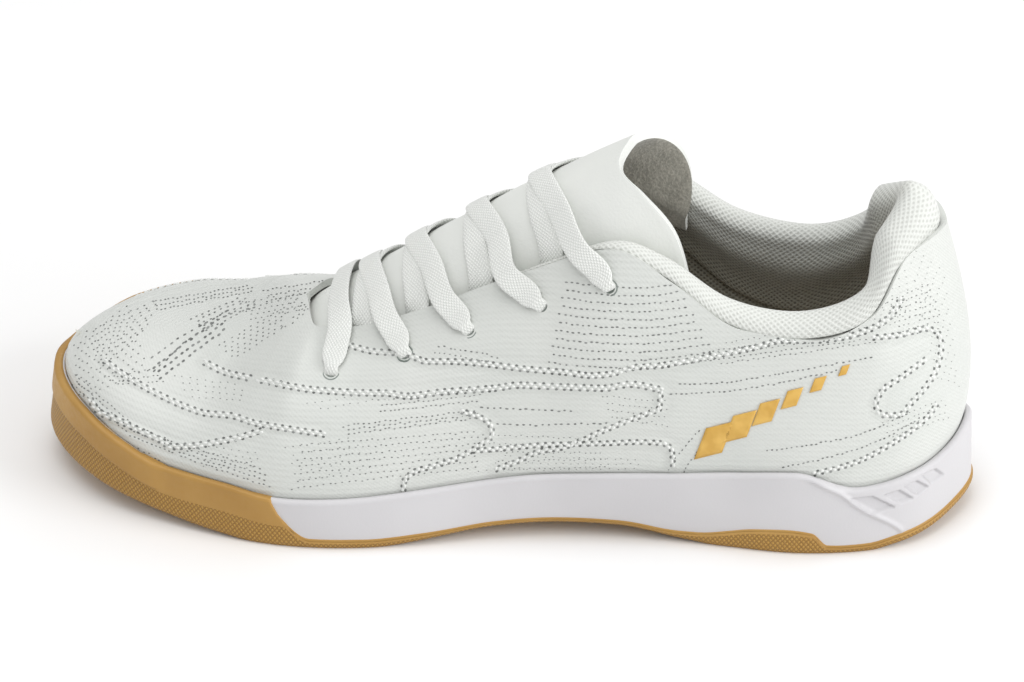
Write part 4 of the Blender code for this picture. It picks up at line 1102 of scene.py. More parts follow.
def gum_material():
    made = Nodes("gum_rubber", (0.44, 0.245, 0.055), 0.5, Coat_Weight=0.05, Coat_Roughness=0.4)
    fine = made.noise(made.place("Object"), 900.0, 3.0)
    broad = made.noise(made.place("Object"), 45.0, 3.0)
    made.colour(made.ramp(broad, (0.3, (0.40, 0.215, 0.045)), (0.7, (0.50, 0.285, 0.07))))
    made.rough(made.ramp(fine, (0.3, 0.42), (0.7, 0.6)))
    made.bump((fine, 0.00005))
    return made.material


def hatched_gum_material():
    """The gum below the toe's groove: fine slanted ribs all along the sole's side."""
    made = Nodes("gum_rubber_hatched", (0.44, 0.245, 0.055), 0.52)
    ribs = made.wave(made.place("UV", (1, 1, 1), HATCH_SLANT), HATCH_SCALE, 0.0, "X")
    across = made.wave(made.place("UV", (1, 1, 1), -HATCH_SLANT), HATCH_SCALE, 0.0, "X")
    broad = made.noise(made.place("Object"), 45.0, 3.0)
    both = made.maths("MULTIPLY", ribs, across)
    # The lit ribs and the dark between them are painted into the colour: painted shade in the hatching's
    # grooves, mixed with a little of the gum's own tone.
    lit = made.ramp(both, (0.0, 0.0), (0.4, 1.0))
    shade = made.mix(lit, (0.25, 0.12, 0.018), (0.52, 0.30, 0.065))
    patches = made.ramp(broad, (0.3, (0.38, 0.20, 0.04)), (0.7, (0.50, 0.29, 0.07)))
    made.colour(made.mix(0.15, shade, patches))
    made.bump((both, 0.00022))
    return made.material


def insole_material():
    made = Nodes("tan_insole", (0.30, 0.22, 0.14), 0.92, Sheen_Weight=0.3)
    fine = made.noise(made.place("Object"), 1100.0, 3.0)
    made.colour(made.ramp(fine, (0.3, (0.25, 0.18, 0.11)), (0.7, (0.36, 0.27, 0.18))))
    made.bump((fine, 0.00015))
    return made.material


def lace_material():
    made = Nodes("white_lace", (0.70, 0.72, 0.70), 0.8, Sheen_Weight=0.3, Sheen_Roughness=0.5)
    weave = made.lattice(0.0011, 0.00085)
    # The weave is lighter on the thread crowns and darker in the gaps between threads: painted light and
    # painted shade of the weave, beside its bump.
    gap_shade = made.ramp(weave, (0.12, 0.0), (0.42, 1.0))
    made.colour(made.mix(gap_shade, (0.92, 0.93, 0.90), (0.76, 0.775, 0.745)))
    made.bump((made.maths("MULTIPLY", weave, -1.0), 0.00035))
    return made.material


def plain_material(name, low, high, roughness, scale=400.0, **settings):
    made = Nodes(name, low, roughness, **settings)
    made.colour(made.ramp(made.noise(made.place("Object"), scale, 2.0), (0.35, low), (0.65, high)))
    return made.material


# The upper

UPPER_LEVEL_ROWS = np.concatenate((np.linspace(-1, 0, FOOT_ROWS + 1)[:-1],
                                   np.linspace(0, 1, UPPER_ROWS + 1)))
STATIONS = np.linspace(0, LAST_STATION, LAST_STATION * COLUMNS + 1)


def upper_side(side):
    """The outer face on one side, with its relief, and the directions straight out of it."""
    station, level = np.broadcast_arrays(STATIONS[:, None], UPPER_LEVEL_ROWS[None, :])
    points = wall(station, side, level)
    normals = wall_normal(station, np.full_like(station, side), level)
    page = to_page(wall(station, 1.0, level))
    edge = np.clip((level + 0.02) / 0.05, 0, 1)
    return points + normals * (relief(page) * edge)[..., None], normals


UPPER_SIDES = {side: upper_side(side) for side in MIRRORED}
UPPER_POINTS = np.concatenate([UPPER_SIDES[side][0].reshape(-1, 3) for side in MIRRORED])
UPPER_NORMALS = np.concatenate([UPPER_SIDES[side][1].reshape(-1, 3) for side in MIRRORED])
GRID_QUADS = grid_faces(len(STATIONS), len(UPPER_LEVEL_ROWS))
GRID_TRIANGLES = np.concatenate((GRID_QUADS[:, (0, 1, 2)], GRID_QUADS[:, (0, 2, 3)]))
SIDE_POINTS = len(UPPER_POINTS) // 2
BOTH_TRIANGLES = np.concatenate((GRID_TRIANGLES, GRID_TRIANGLES + SIDE_POINTS))
UPPER_TREE = BVHTree.FromPolygons(UPPER_POINTS.tolist(), BOTH_TRIANGLES.tolist())


def on_upper_face(page):
    """Where page points fall on the upper: triangle numbers, shares of their corners, and which hit."""
    ways = page_ray(page.reshape(-1, 2))
    found = [UPPER_TREE.ray_cast(Vector(PAGE_EYE), Vector(way)) for way in ways]
    hit = np.array([one[2] is not None for one in found])
    index = np.array([one[2] if one[2] is not None else 0 for one in found])
    place = np.array([tuple(one[0]) if one[0] is not None else (0.0, 0.0, 0.0) for one in found])
    first, second, third = (UPPER_POINTS[BOTH_TRIANGLES[index, corner]] for corner in range(3))
    normal = np.cross(second - first, third - first)
    area = np.maximum((normal * normal).sum(1), 1e-24)
    share_two = (np.cross(place - first, third - first) * normal).sum(1) / area
    share_three = (np.cross(second - first, place - first) * normal).sum(1) / area
    shares = np.stack((1 - share_two - share_three, share_two, share_three), 1)
    facing = (UPPER_NORMALS[BOTH_TRIANGLES[index, 0]] * -ways).sum(1) > FACING_LEAST
    return index, shares, (hit & facing).reshape(page.shape[:-1])


def lifted(index, shares, rise):
    """Points of the upper's face, lifted off it."""
    corners = BOTH_TRIANGLES[index]
    place = (UPPER_POINTS[corners] * shares[..., None]).sum(1)
    out = unit((UPPER_NORMALS[corners] * shares[..., None]).sum(1))
    return place + out * np.reshape(rise, (-1, 1))


def other_side(index):
    """The same triangles on the shoe's other side."""
    half = len(GRID_TRIANGLES)
    return np.where(index < half, index + half, index - half)


def unseen(index):
    """Which triangles face away from the page."""
    corner = BOTH_TRIANGLES[index, 0]
    return (UPPER_NORMALS[corner] * (PAGE_EYE - UPPER_POINTS[corner])).sum(1) < 0


def eyelet_cutter():
    """A bar through the upper at every eyelet, all in one mesh."""
    points, faces = [], []
    for side in MIRRORED:
        for station, distance in EYELETS:
            at, way = np.array([station]), np.array([side])
            place = near_edge(at, way, distance, UPPER_WALL / 2)[0]
            out = wall_normal(at, way, level_from_edge(at, way, np.array([distance])))[0]
            ahead = unit(np.cross(out, (0.0, 0.0, 1.0)))
            over = np.cross(ahead, out)
            turns = np.linspace(0, 2 * np.pi, HOLE_CORNERS, endpoint=False)
            circle = np.cos(turns)[:, None] * ahead + np.sin(turns)[:, None] * over
            start = len(points) * HOLE_CORNERS
            for reach in (-2 * UPPER_WALL, 2 * UPPER_WALL):
                points.append(place + out * reach + circle * EYELET_HOLE / 2)
            for turn in range(HOLE_CORNERS):
                after = (turn + 1) % HOLE_CORNERS
                faces.append((start + turn, start + after, start + HOLE_CORNERS + after,
                              start + HOLE_CORNERS + turn))
            faces.append(tuple(range(start + HOLE_CORNERS - 1, start - 1, -1)))
            faces.append(tuple(range(start + HOLE_CORNERS, start + 2 * HOLE_CORNERS)))
    cutter = placed("eyelet_cutter", np.concatenate(points), faces, smooth=False)
    cutter.data.flip_normals()
    return cutter


def make_upper():
    grids = [UPPER_SIDES[side][0] for side in MIRRORED]
    runs = [lengths(grid, 0)[:, FOOT_ROWS + UPPER_ROWS // 3] for grid in grids]
    thing = placed("upper_shell", *both_sides(grids, runs, 1))
    weld(thing)
    shell = thing.modifiers.new("wall", "SOLIDIFY")
    shell.thickness = UPPER_WALL
    shell.offset = -1
    shell.material_offset = 1
    shell.material_offset_rim = 0
    cutter = eyelet_cutter()
    hole = thing.modifiers.new("eyelets", "BOOLEAN")
    hole.object = cutter
    hole.solver = "EXACT"
    for _ in range(2):
        thing.data.materials.append(None)
    bpy.context.view_layer.update()
    apply_modifiers(thing)
    bpy.data.objects.remove(cutter)
    thing.data.set_sharp_from_angle(angle=UPPER_SHARP)
    return finish_piece(thing, "white_synthetic", (SYNTHETIC, KNIT), "upper")


def page_marks(name, marks, rise, dome=0.0):
    """Small plates or domes laid on both sides of the upper at page places."""
    centres, ways, long, wide = marks[:, :2], marks[:, 2:4], marks[:, 4], marks[:, 5]
    corners = MARK_CORNERS
    turns = np.linspace(0, 2 * np.pi, corners, endpoint=False)
    aside = np.stack((-ways[:, 1], ways[:, 0]), -1)
    ring = (ways[:, None] * np.cos(turns)[None, :, None] * long[:, None, None]
            + aside[:, None] * np.sin(turns)[None, :, None] * wide[:, None, None])
    layers = [centres[:, None] + ring]
    heights = [np.full(corners, rise)]
    if dome:
        layers.append(centres[:, None] + ring * DOME_SHOULDER[0])
        heights.append(np.full(corners, rise + dome * DOME_SHOULDER[1]))
        layers.append(centres[:, None])
        heights.append(np.array([rise + dome]))
    page = np.concatenate(layers, 1)
    index, shares, hit = on_upper_face(page)
    count = page.shape[1]
    whole = hit.all(1)
    index = index.reshape(-1, count)[whole]
    shares = shares.reshape(-1, count, 3)[whole]
    turned = other_side(index)
    hidden = unseen(turned.ravel()).reshape(turned.shape).all(1)
    side = np.where(index[:, 0] < len(GRID_TRIANGLES), 1, -1)
    same = ((index < len(GRID_TRIANGLES)) == (index[:, :1] < len(GRID_TRIANGLES))).all(1)
    index = np.concatenate((index, turned[hidden & same]))
    shares = np.concatenate((shares, shares[hidden & same]))
    side = np.concatenate((np.ones(len(side)), -np.ones(int((hidden & same).sum()))))
    points = lifted(index.ravel(), shares.reshape(-1, 3), np.tile(np.concatenate(heights), len(index)))
    points = points.reshape(-1, count, 3)
    small = np.linalg.norm(points - points.mean(1, keepdims=True), axis=2).max(1) < MARK_REACH
    points, side = points[small].reshape(-1, 3), side[small]
    around_it = np.arange(corners)
    after = (around_it + 1) % corners
    if dome:
        pattern = [(a, b, corners + b, corners + a) for a, b in zip(around_it, after)]
        pattern += [(corners + a, corners + b, 2 * corners) for a, b in zip(around_it, after)]
    else:
        pattern = [tuple(around_it)]
    faces = []
    for number, way in enumerate(side):
        for face in pattern:
            one = [number * count + corner for corner in face]
            faces.append(one[::-1] if way > 0 else one)
    return placed(name, points, faces, smooth=bool(dome))


def collect_marks():
    """The places, directions and sizes of the holes and of the nubs on the page: the holes are painted
    dark, painted shade inside them, and the nubs painted bright, painted highlight on their domes.
    """
    holes, nubs = [], []

    def add(store, line, ways, long, wide):
        store.append(np.column_stack((line, ways, np.broadcast_to(long, len(line)),
                                      np.broadcast_to(wide, len(line)))))

    for points, width in BANDS:
        for offset, start in ((0.0, 0.25), (width, 0.75)):
            line, ways = resampled(points, BAND_PITCH, start)
            aside = np.stack((ways[:, 1], -ways[:, 0]), -1)
            add(holes, line + aside * offset, ways, *BAND_HOLE)
        for offset, start in ((width * 0.28, 0.75), (width * 0.72, 0.25)):
            line, ways = resampled(points, BAND_PITCH, start)
            aside = np.stack((ways[:, 1], -ways[:, 0]), -1)
            add(nubs, line + aside * offset, ways, *BAND_NUB)
    for first, last, count, pitch, size in ROWS:
        first, last = np.array(first, float), np.array(last, float)
        for number in range(count):
            share = number / max(count - 1, 1)
            line, ways = resampled(first + (last - first) * share, pitch, 0.25 + 0.5 * (number % 2))
            shift = CHANCE.normal(0, 0.35, line.shape)
            add(holes, line + shift, ways, size * CHANCE.uniform(0.7, 1.25, len(line)), 0.55 + size * 0.15)
    for *corners, rows, count, size in FIELDS:
        one, two, three, four = (np.array(corner, float) for corner in corners)
        for row in range(rows):
            share = (row + 0.5) / rows
            start, end = one + (four - one) * share, two + (three - two) * share
            at = (np.arange(count) + 0.25 + 0.5 * (row % 2)) / count
            line = start + (end - start) * at[:, None]
            way = np.broadcast_to(unit(end - start), line.shape)
            add(holes, line + CHANCE.normal(0, 0.5, line.shape), way, size * 1.35, size * 0.8)
    return np.concatenate(holes), np.concatenate(nubs)


def make_marks():
    holes, nubs = collect_marks()
    # The holes' dark plates are painted shade, and the nubs' lighter colour is painted highlight.
    finish_piece(page_marks("upper_holes", holes, HOLE_RISE), "white_synthetic", (HOLE_SHADE,))
    finish_piece(page_marks("upper_nubs", nubs, NUB_RISE, NUB_DOME), "white_synthetic", (NUB_HIGHLIGHT,))


def make_motif():
    """A generic mark: a falling row of slanted gold plates."""
    first, last = np.array(MARK_FIRST, float), np.array(MARK_LAST, float)
    cells = PLATE_CELLS
    points, faces = {side: [] for side in MIRRORED}, []
    for plate in range(MARK_PLATES):
        share = plate / (MARK_PLATES - 1)
        low_left, low_right, high_right, high_left = first + (last - first) * share
        across, up = np.meshgrid(np.linspace(0, 1, cells + 1), np.linspace(0, 1, cells + 1), indexing="ij")
        across, up = across[..., None], up[..., None]
        page = (low_left * (1 - across) + low_right * across) * (1 - up)
        page = page + (high_left * (1 - across) + high_right * across) * up
        index, shares, _ = on_upper_face(page)
        for side, places in zip(MIRRORED, (index, other_side(index))):
            points[side].append(lifted(places, shares, PLATE_RISE))
    block = (cells + 1) ** 2
    for number, side in enumerate(MIRRORED):
        for plate in range(MARK_PLATES):
            start = (number * MARK_PLATES + plate) * block
            faces.append(grid_faces(cells + 1, cells + 1, turned=side < 0) + start)
    every = np.concatenate([np.concatenate(points[side]) for side in MIRRORED])
    thing = placed("quarter_motif", every, np.concatenate(faces))
    film = thing.modifiers.new("film", "SOLIDIFY")
    film.thickness = PLATE_FILM
    film.offset = -1
    apply_modifiers(thing)
    finish_piece(thing, "white_synthetic", (GOLD,))


# The collar

def spline(values, knots, at):
    """A smooth cubic through rows of values."""
    slopes = np.gradient(values, knots, axis=0)
    index = np.clip(np.searchsorted(knots, at, side="right") - 1, 0, len(knots) - 2)
    step = (knots[index + 1] - knots[index]).reshape((-1,) + (1,) * (values.ndim - 1))
    share = ((at - knots[index]) / (knots[index + 1] - knots[index])).reshape(step.shape)
    start, end = slopes[index] * step, slopes[index + 1] * step
    return cubic(values[index], values[index + 1], start, end, share)


def smooth_loop(points, count):
    """A closed smooth curve through points, read at evenly shared places."""
    slopes = np.stack([closed_spline(points[:, axis]) for axis in range(3)], 1)
    at = np.arange(count) / count * len(points)
    index = np.floor(at).astype(int) % len(points)
    after = (index + 1) % len(points)
    share = (at - np.floor(at))[:, None]
    return cubic(points[index], points[after], slopes[index], slopes[after], share)


def collar_grid():
    knots = np.array(COLLAR_KNOTS)
    knots = np.concatenate((-knots[:0:-1], knots))
    sections = np.array([collar_section(np.array([abs(one)]), np.array([1.0 if one >= 0 else -1.0]))
                         for one in knots])
    at = np.linspace(-COLLAR_END, COLLAR_END, COLLAR_SECTIONS)
    grid = np.array([smooth_loop(section, COLLAR_POINTS) for section in spline(sections, knots, at)])
    near_heel = np.clip((COLLAR_EASES - np.abs(at)) / COLLAR_FADE, 0, 1)[:, None, None]
    for _ in range(COLLAR_PASSES):
        around_it = grid.copy()
        around_it[1:-1] = (grid[:-2] + 2 * grid[1:-1] + grid[2:]) / 4
        grid = grid + (around_it - grid) * near_heel
    return grid - np.array((0.0, 0.0, COLLAR_SINKS))


def make_collar():
    grid = collar_grid()
    across, run = lengths(grid, 1), lengths(grid, 0)[:, COLLAR_POINTS // 4]
    uvs = flat_uvs(run[:, None], across)
    thing = placed("collar_knit", grid.reshape(-1, 3), tube_faces(len(grid), COLLAR_POINTS), uvs)
    face_outwards(thing)
    finish_piece(thing, "knit", (KNIT,), "collar")


def face_outwards(thing):
    work = bmesh.new()
    work.from_mesh(thing.data)
    bmesh.ops.recalc_face_normals(work, faces=work.faces)
    work.to_mesh(thing.data)
    work.free()


# The tongue

def make_tongue():
    rows = np.array([row[0] for row in TONGUE])
    share = np.linspace(0, 1, TONGUE_ROWS)
    stations = rows[0] + (rows[-1] - rows[0]) * share
    across = np.concatenate((np.linspace(1, ARCH_SHARE, 8), np.linspace(ARCH_SHARE, 0, 30)[1:]))
    across = np.concatenate((across, -across[-2::-1], TONGUE_FAR_WING))
    grid = np.array([tongue_face(lip(station, across), across) for station in stations])
    root = grid[-1] + TONGUE_ROOT
    root[:, 1] = grid[-1][:, 1] * TONGUE_ROOT_NARROWS
    grid = np.concatenate((grid, root[None]))
    uvs = flat_uvs(lengths(grid, 0), lengths(grid, 1))
    thing = placed("tongue_pad", grid.reshape(-1, 3), grid_faces(*grid.shape[:2], turned=True), uvs)
    for _ in range(2):
        thing.data.materials.append(None)
    body = thing.modifiers.new("body", "SOLIDIFY")
    body.thickness = TONGUE_WALL
    body.offset = -1
    body.use_even_offset = True
    body.material_offset = 1
    edge = thing.modifiers.new("edge", "BEVEL")
    edge.width = TONGUE_EDGE
    edge.segments = 3
    edge.angle_limit = np.radians(60)
    apply_modifiers(thing)
    finish_piece(thing, "tongue_synthetic", (TONGUE_FACE, FELT), "tongue")


# The eyelets

def make_eyelets():
    """A thin dark ring round each eyelet, flush with the upper's face, that dips into the hole as a dark
    cup: the ring's own colour, with painted shade inside the hole.
    """
    turns = np.linspace(0, 2 * np.pi, EYELET_CORNERS, endpoint=False)
    points, faces = [], []
    for station, distance in EYELETS:
        for side in MIRRORED:
            middle, out, _ = on_upper(station, side, distance, 0.0, 1.0)
            ahead = unit(on_upper(station + 0.1, side, distance, 0.0, 1.0)[0] - middle)
            aside = np.cross(out, ahead)
            start = len(points) * EYELET_CORNERS
            for radius, rise in EYELET_RINGS:
                points.append(middle + out * rise
                              + radius * (np.outer(np.cos(turns), ahead) + np.outer(np.sin(turns), aside)))
            faces += tube_faces(len(EYELET_RINGS), EYELET_CORNERS, start, capped=False)
    thing = placed("eyelet_rings", np.concatenate(points), faces)
    face_outwards(thing)
    finish_piece(thing, "white_synthetic", (EYELET_RING_AND_SHADE,))


# The laces

def ribbon(name, stops, nodes):
    """A flat woven lace through stops of point, normal and share of its width."""
    points = np.array([stop[0] for stop in stops])
    normals = np.array([stop[1] for stop in stops])
    widths = np.array([stop[2] for stop in stops])
    runs = np.concatenate(([0], np.cumsum(np.linalg.norm(np.diff(points, axis=0), axis=1))))
    at = np.linspace(0, runs[-1], LACE_STEPS)
    line = spline(points, runs, at)
    face = unit(spline(normals, runs, at))
    width = through(runs, widths, at)[:, None, None]
    ahead = unit(np.gradient(line, axis=0))
    aside = unit(np.cross(ahead, face))
    face = np.cross(aside, ahead)
    turns = np.linspace(0, 2 * np.pi, LACE_CORNERS, endpoint=False)
    flat = np.sign(np.cos(turns)) * np.abs(np.cos(turns)) ** LACE_SQUARE[0]
    thick = np.sign(np.sin(turns)) * np.abs(np.sin(turns)) ** LACE_SQUARE[1]
    gathers = 1 + LACE_GATHERS - LACE_GATHERS * width
    grid = (line[:, None] + aside[:, None] * flat[None, :, None] * LACE_WIDTH / 2 * width
            + face[:, None] * thick[None, :, None] * LACE_THICKNESS / 2 * gathers)
    run = lengths(line, 0)
    across = lengths(grid, 1)
    uvs = flat_uvs(run[:, None], across)
    thing = placed(name, grid.reshape(-1, 3), tube_faces(len(grid), LACE_CORNERS), uvs)
    face_outwards(thing)
    return finish_piece(thing, "white_lace", (LACE,), *nodes)


def on_upper(station, side, distance, rise, width=1.0):
    at, way = np.array([float(station)]), np.array([float(side)])
    point = near_edge(at, way, distance, -rise)[0]
    return point, wall_normal(at, way, level_from_edge(at, way, np.array([max(distance, 0)])))[0], width


def on_tongue(station, across, rise, width=1.0):
    at, place = np.array([float(station)]), np.array([float(across)])
    normal = tongue_normal(at, place)[0]
    return tongue_face(at, place)[0] + normal * rise, normal, width


def into_eyelet(number, side, over, leaves):
    """Stops from inside the shoe up through an eyelet and out over the face, towards where it leaves."""
    station, distance = EYELETS[number]

    def stop(share, rise, width):
        """A place a share of the way from the eyelet to the throat's edge."""
        return on_upper(station + (leaves - station) * share, side, distance * (1 - share), rise, width)

    low, mouth, past = (stop(share, rise, EYELET_SQUEEZE) for share, rise in
                        ((-0.02, -UPPER_WALL * 1.3), (0.0, 0.0), (0.07, over * 0.8)))
    ahead = unit(past[0] - low[0])
    low = (low[0], unit(low[1] * 0.3 - ahead), EYELET_SQUEEZE)
    mouth = (mouth[0], unit(mouth[1] - ahead * 0.8), EYELET_SQUEEZE)
    return [low, mouth, past, stop(0.22, over, 0.86), stop(0.42, over, 1.0)]


def make_laces():
    over = LACE_THICKNESS / 2 + CLEARANCE + FACET_ALLOWANCE
    stations = [station for station, _ in EYELETS]
    places = [place for place, _ in LACE_PLACES]
    shares = [LACE_LEAVES] + [share for _, share in LACE_PLACES]
    first = stations[0]
    bar = into_eyelet(0, 1.0, over, first)
    bar += [on_upper(first, 1.0, LACE_EDGE, over * 1.6), on_tongue(first, 0.3, over * 2),
            on_tongue(first, 0.0, over * 1.5), on_tongue(first, -0.3, over * 2),
            on_upper(first, -1.0, LACE_EDGE, over * 1.6)]
    bar += into_eyelet(0, -1.0, over, first)[::-1]
    ribbon("lace_row_1", bar, ("lace_bar",))
    for number in range(len(stations) - 1):
        low, high = stations[number], stations[number + 1]
        sweep = 1 if number else BAR_SWEEP
        between = [high + (low - high) * share * sweep for share in shares]
        for side, layer, word in ((1.0, 1.5, "over"), (-1.0, 1.0, "under")):
            stops = into_eyelet(number + 1, side, over, between[0])
            stops += [on_upper(between[0], side, LACE_EDGE, over * 2.2),
                      on_tongue(between[1], places[0] * side, over * (layer + 0.35)),
                      on_tongue(between[2], places[1] * side, over * (layer + 0.1)),
                      on_tongue(between[3], places[2] * side, over * (layer * 0.5 + 0.6)),
                      on_tongue(between[4], places[3] * side, over * 1.1),
                      on_tongue(between[4] + 0.05, (places[3] - 0.19) * side, over * 0.8)]
            nodes = (f"lace_crossing_{number + 1}",) if side > 0 else ()
            ribbon(f"lace_{word}_{number + 1}", stops, nodes)


# The sole

def sole_stations():
    heel = np.linspace(0, HEEL_END, HEEL_END * HEEL_COLUMNS + 1)
    rest = np.linspace(HEEL_END, LAST_STATION, (LAST_STATION - HEEL_END) * COLUMNS + 1)
    return np.concatenate((heel, rest[1:]))


def spine(station):
    """The middle line of the sole, which stops short of heel and toe."""
    lateral, _ = outline(station, np.ones_like(station))
    medial, _ = outline(station, -np.ones_like(station))
    middle = (lateral + medial) / 2
    x = SPINE_MARGIN * LENGTH + middle[..., 0] * (1 - 2 * SPINE_MARGIN)
    return np.stack((x, middle[..., 1]), -1)


def inside_quad(page, corners, soft):
    """How far inside a quad of the page each point lies: 1 well inside, 0 outside."""
    depth = np.full(page.shape[:-1], 1e3)
    corners = np.array(corners, float)
    for first, last in zip(corners, np.roll(corners, -1, 0)):
        way = unit(last - first)
        depth = np.minimum(depth, (page - first) @ np.array((-way[1], way[0])))
    return eased(np.clip(depth / soft, 0, 1))


def foam_relief(page):
    """The heel's recessed plates, the ribs between them and the ridge that falls from the rim."""
    gap = distance_to(page, (FOAM_RIDGE,))
    rise = FOAM_RIDGE_RISE * np.exp(-(gap / 2.4) ** 2)
    for quad in FOAM_PLATES:
        rise = rise - FOAM_PLATE_DEPTH * inside_quad(page, quad, 1.2)
    return rise


def ring_grids(column, stations):
    """Points, faces and coordinates of columns that run round the shoe."""
    ways = [np.full_like(stations, side) for side in MIRRORED]
    runs = [lengths(outline(stations, way)[0], 0) for way in ways]
    return both_sides([column(stations, way) for way in ways], runs, -1)


def ring_piece(name, column, stations):
    """A closed body whose columns run round the shoe from its spine and back to its spine."""
    thing = placed(name, *ring_grids(column, stations))
    weld(thing, 1e-5)
    apply_modifiers(thing)
    face_outwards(thing)
    return thing


def midsole_column(station, side):
    middle = spine(station)
    point, out = outline(station, side)
    out3 = lay(out, 0.0)
    rows = [lay(middle, cup_floor(middle[:, 0]))]
    for level in np.linspace(-1, 0, 7):
        out_wall = wall_normal(station, side, level + 0 * station)
        rows.append(wall(station, side, level) + out_wall * CLEARANCE)
    bottom = underside(point[:, 0])
    rise = rim_height(station, side) - bottom
    low = np.clip((gum_height(station, side) - FOAM_LAP) / rise, 2 * CLEARANCE / rise, FOAM_MOST_CUT)
    lip = sole_side(station, side, np.ones_like(station))
    rows += [lip - out3 * RIM_WALL * share + FOAM_LIP_RISE for share in FOAM_LIP_PLACES]
    for share in np.linspace(0, 1, FOAM_ROWS):
        height = (1 - FOAM_SHOULDER / rise) + (low - 1 + FOAM_SHOULDER / rise) * share
        face = sole_side(station, side, height)
        page = to_page(sole_side(station, np.ones_like(station), height))
        rows.append(face + out3 * foam_relief(page)[:, None])
    edge = sole_side(station, side, low)
    rows.append(lay(edge[:, :2] - out * FOAM_TURNS_IN[0], edge[:, 2]))
    inner = point - out * FOAM_TURNS_IN[1]
    rows.append(lay(inner, underside(inner[:, 0]) + GUM_PLATE))
    rows.append(lay(middle, underside(middle[:, 0]) + GUM_PLATE))
    return np.stack(rows, 1)


def toe_band_height(station, side):
    """The height of the toe band's lower edge, where it runs."""
    return rim_height(station, side) - TOE_BAND_DEPTH


def gum_skin_column(station, side):
    """The rubber's visible side, from under the bottom edge up to the gum line and back in."""
    point, out = outline(station, side)
    out3 = lay(out, 0.0)
    bottom = underside(point[:, 0])
    rise = rim_height(station, side) - bottom
    top = np.minimum(np.maximum(gum_height(station, side), 2 * CLEARANCE) / rise, 1)
    end = np.where(side > 0, BAND_ENDS[0], BAND_ENDS[1])
    on_toe = eased(np.clip((station - end) / TOE_BLEND + 0.5, 0, 1))
    band_low = toe_band_height(station, side)
    foot = sole_side(station, side, 0 * station)
    rows = [foot + out3 * reach + np.array((0, 0, lift)) for reach, lift in GUM_FOOT]
    groove = np.clip((band_low - GROOVE_DROP - bottom) / rise, *(share * top for share in GROOVE_SHARES))
    near = [groove + step / rise for step in GROOVE_STEPS]
    heights = [near[0] * share for share in np.linspace(0, 1, GUM_ROWS)[:-1]] + near
    heights += [near[-1] + (top - near[-1]) * share for share in np.linspace(0, 1, GUM_TOP_ROWS)[1:]]
    for height in heights:
        height = np.clip(height, 0, top)
        proud = BAND_STEP * np.clip((height - groove) * rise / BAND_SOFT + 0.5, 0, 1)
        face = sole_side(station, side, height)
        rows.append(face + out3 * (SKIN + proud * on_toe)[:, None])
    edge = sole_side(station, side, top)
    rows += [edge + out3 * reach + np.array((0, 0, lift)) for reach, lift in GUM_BACK]
    return np.stack(rows, 1)


def make_outsole():
    stations = sole_stations()
    points, faces, uvs = ring_grids(gum_skin_column, stations)
    rows = len(points) // 2 // len(stations)
    first = faces[:len(faces) // 2].min(1)
    row, column = first % rows, first // rows
    groups = []
    for end in BAND_ENDS:
        kind = np.where(row < GUM_ROWS + 1, 1, 0)
        # The toe band's groove rows take the dark groove colour: painted shade in the groove.
        kind[(row >= GUM_ROWS + 2) & (row <= GUM_ROWS + 3) & (stations[column] > end)] = 2
        groups.append(kind)
    thing = placed("outsole_side", points, faces, uvs, groups=np.concatenate(groups))
    skin = thing.modifiers.new("skin", "SOLIDIFY")
    skin.thickness = GUM_THICKNESS
    skin.offset = -1
    weld(thing)
    apply_modifiers(thing)
    finish_piece(thing, "gum_rubber", (GUM, HATCHED, GUM_GROOVE_SHADE))
    solid = bpy.data.objects["outsole"]
    solid.data.materials.clear()
    solid.data.materials.append(GUM)


def insole_column(station, side):
    middle = spine(station)
    _, out = outline(station, side)
    foot = wall(station, side, -1.0)[..., :2]
    margin = UPPER_WALL + CLEARANCE + 3 * FACET_ALLOWANCE
    inside = foot - out * margin
    low, high = (wall(station, side, level) - wall_normal(station, side, level + 0 * station) * margin
                 for level in INSOLE_LEVELS)
    floor = [middle + (inside - middle) * share for share in np.linspace(0, 1, INSOLE_ROWS)]
    rows = [lay(place, cup_floor(place[:, 0]) + INSOLE_THICKNESS) for place in floor[:-1]]
    rows.append(lay(inside, cup_floor(inside[:, 0]) + INSOLE_THICKNESS + UPPER_WALL / 2))
    rows.append((rows[-1] + high) / 2 + INSOLE_DIP)
    rows += [high, low, lay(foot, cup_floor(foot[:, 0]) + margin),
             lay(inside, cup_floor(inside[:, 0]) + CLEARANCE + EDGE_LIFT / 4),
             lay(middle, cup_floor(middle[:, 0]) + CLEARANCE + EDGE_LIFT / 4)]
    return np.stack(rows, 1)


# The studio

def make_floor():
    half = FLOOR_HALF
    mesh = bpy.data.meshes.new("floor")
    corners = [(-half, -half, 0), (half, -half, 0), (half, half, 0), (-half, half, 0)]
    mesh.from_pydata(corners, [], [(0, 1, 2, 3)])
    floor = bpy.data.objects.new("floor", mesh)
    bpy.context.scene.collection.objects.link(floor)
    made = Nodes("floor_paper", (0.9, 0.9, 0.9), 0.9)
    made.colour(made.ramp(made.noise(made.place("Object"), 3.0), (0.0, 0.9), (1.0, 0.92)))
    floor.data.materials.append(made.material)


def add_light(name, place, target, size, power):
    light = bpy.data.lights.new(name, "AREA")
    light.size = size
    light.energy = power
    lamp = bpy.data.objects.new(name, light)
    bpy.context.scene.collection.objects.link(lamp)
    lamp.location = place
    lamp.rotation_euler = (Vector(target) - Vector(place)).to_track_quat("-Z", "Y").to_euler()


def make_studio():
    scene = bpy.context.scene
    world = bpy.data.worlds.new("studio")
    world.use_nodes = True
    back = world.node_tree.nodes["Background"]
    back.inputs["Color"].default_value = (1, 1, 1, 1)
    back.inputs["Strength"].default_value = WORLD_LIGHT
    scene.world = world
    scene.view_settings.view_transform = "Standard"
    for name, place, size, power in LAMPS:
        add_light(name, place, (0, 0, 0.04), size, power)
    make_floor()


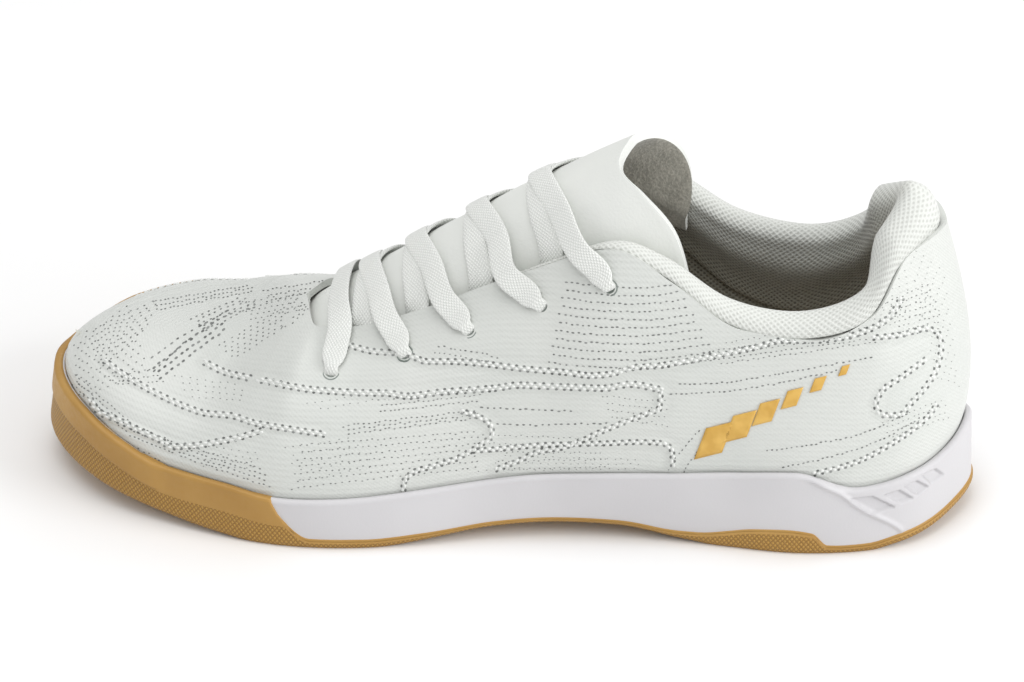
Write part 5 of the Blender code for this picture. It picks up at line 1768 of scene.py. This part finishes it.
def make_camera():
    camera = bpy.data.cameras.new("camera")
    camera.sensor_width = SENSOR
    camera.lens = SENSOR * PAGE_DISTANCE / PAGE_UNIT / FRAME_WIDTH
    shift = (FRAME_CENTRE - PAGE_CENTRE) / FRAME_WIDTH
    camera.shift_x = shift[0]
    camera.shift_y = -shift[1]
    camera.clip_start = 0.01
    thing = bpy.data.objects.new("camera", camera)
    bpy.context.scene.collection.objects.link(thing)
    axes = np.stack((PAGE_RIGHT, PAGE_UP, PAGE_BACK, PAGE_EYE - MIDDLE), 1)
    thing.matrix_world = Matrix([*axes.tolist(), (0, 0, 0, 1)])
    bpy.context.scene.camera = thing


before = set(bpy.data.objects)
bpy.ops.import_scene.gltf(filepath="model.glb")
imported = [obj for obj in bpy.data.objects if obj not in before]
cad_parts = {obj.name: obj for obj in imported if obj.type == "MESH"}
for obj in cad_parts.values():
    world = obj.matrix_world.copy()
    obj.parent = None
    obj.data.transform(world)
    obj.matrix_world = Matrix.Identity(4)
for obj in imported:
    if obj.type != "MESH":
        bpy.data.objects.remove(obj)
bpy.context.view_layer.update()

SYNTHETIC = synthetic_material()
KNIT = knit_material()
FELT = felt_material()
TONGUE_FACE = tongue_material()
FOAM = foam_material()
GUM = gum_material()
HATCHED = hatched_gum_material()
TAN = insole_material()
LACE = lace_material()
# The groove's darker gum is painted shade in the groove.
GUM_GROOVE_SHADE = plain_material("gum_groove_shade", (0.13, 0.06, 0.012), (0.20, 0.095, 0.02), 0.7)
# Dark plates on the holes: painted shade inside the perforations.
HOLE_SHADE = plain_material("pinhole_shade", (0.13, 0.135, 0.13), (0.30, 0.31, 0.30), 0.8)
# The nubs are the white synthetic painted lighter: painted highlight on their raised domes.
NUB_HIGHLIGHT = plain_material("raised_nub_highlight", (0.70, 0.715, 0.69), (0.80, 0.81, 0.79), 0.35, 900.0)
GOLD = plain_material("gold_film", (0.62, 0.35, 0.05), (0.74, 0.45, 0.09), 0.36, 260.0, Coat_Weight=0.3)
# Dark grey-green ring and cup at each eyelet: the ring's own colour, and painted shade in the hole.
EYELET_RING_AND_SHADE = plain_material("eyelet_ring_and_shade", (0.16, 0.19, 0.17), (0.26, 0.29, 0.27), 0.7)

make_studio()
make_camera()
make_upper()
make_marks()
make_motif()
make_collar()
make_tongue()
make_eyelets()
make_laces()
finish_piece(ring_piece("midsole_foam", midsole_column, sole_stations()), "white_foam", (FOAM,), "midsole")
make_outsole()
finish_piece(ring_piece("insole_pad", insole_column, STATIONS[::2]), "tan_insole", (TAN,), "insole")
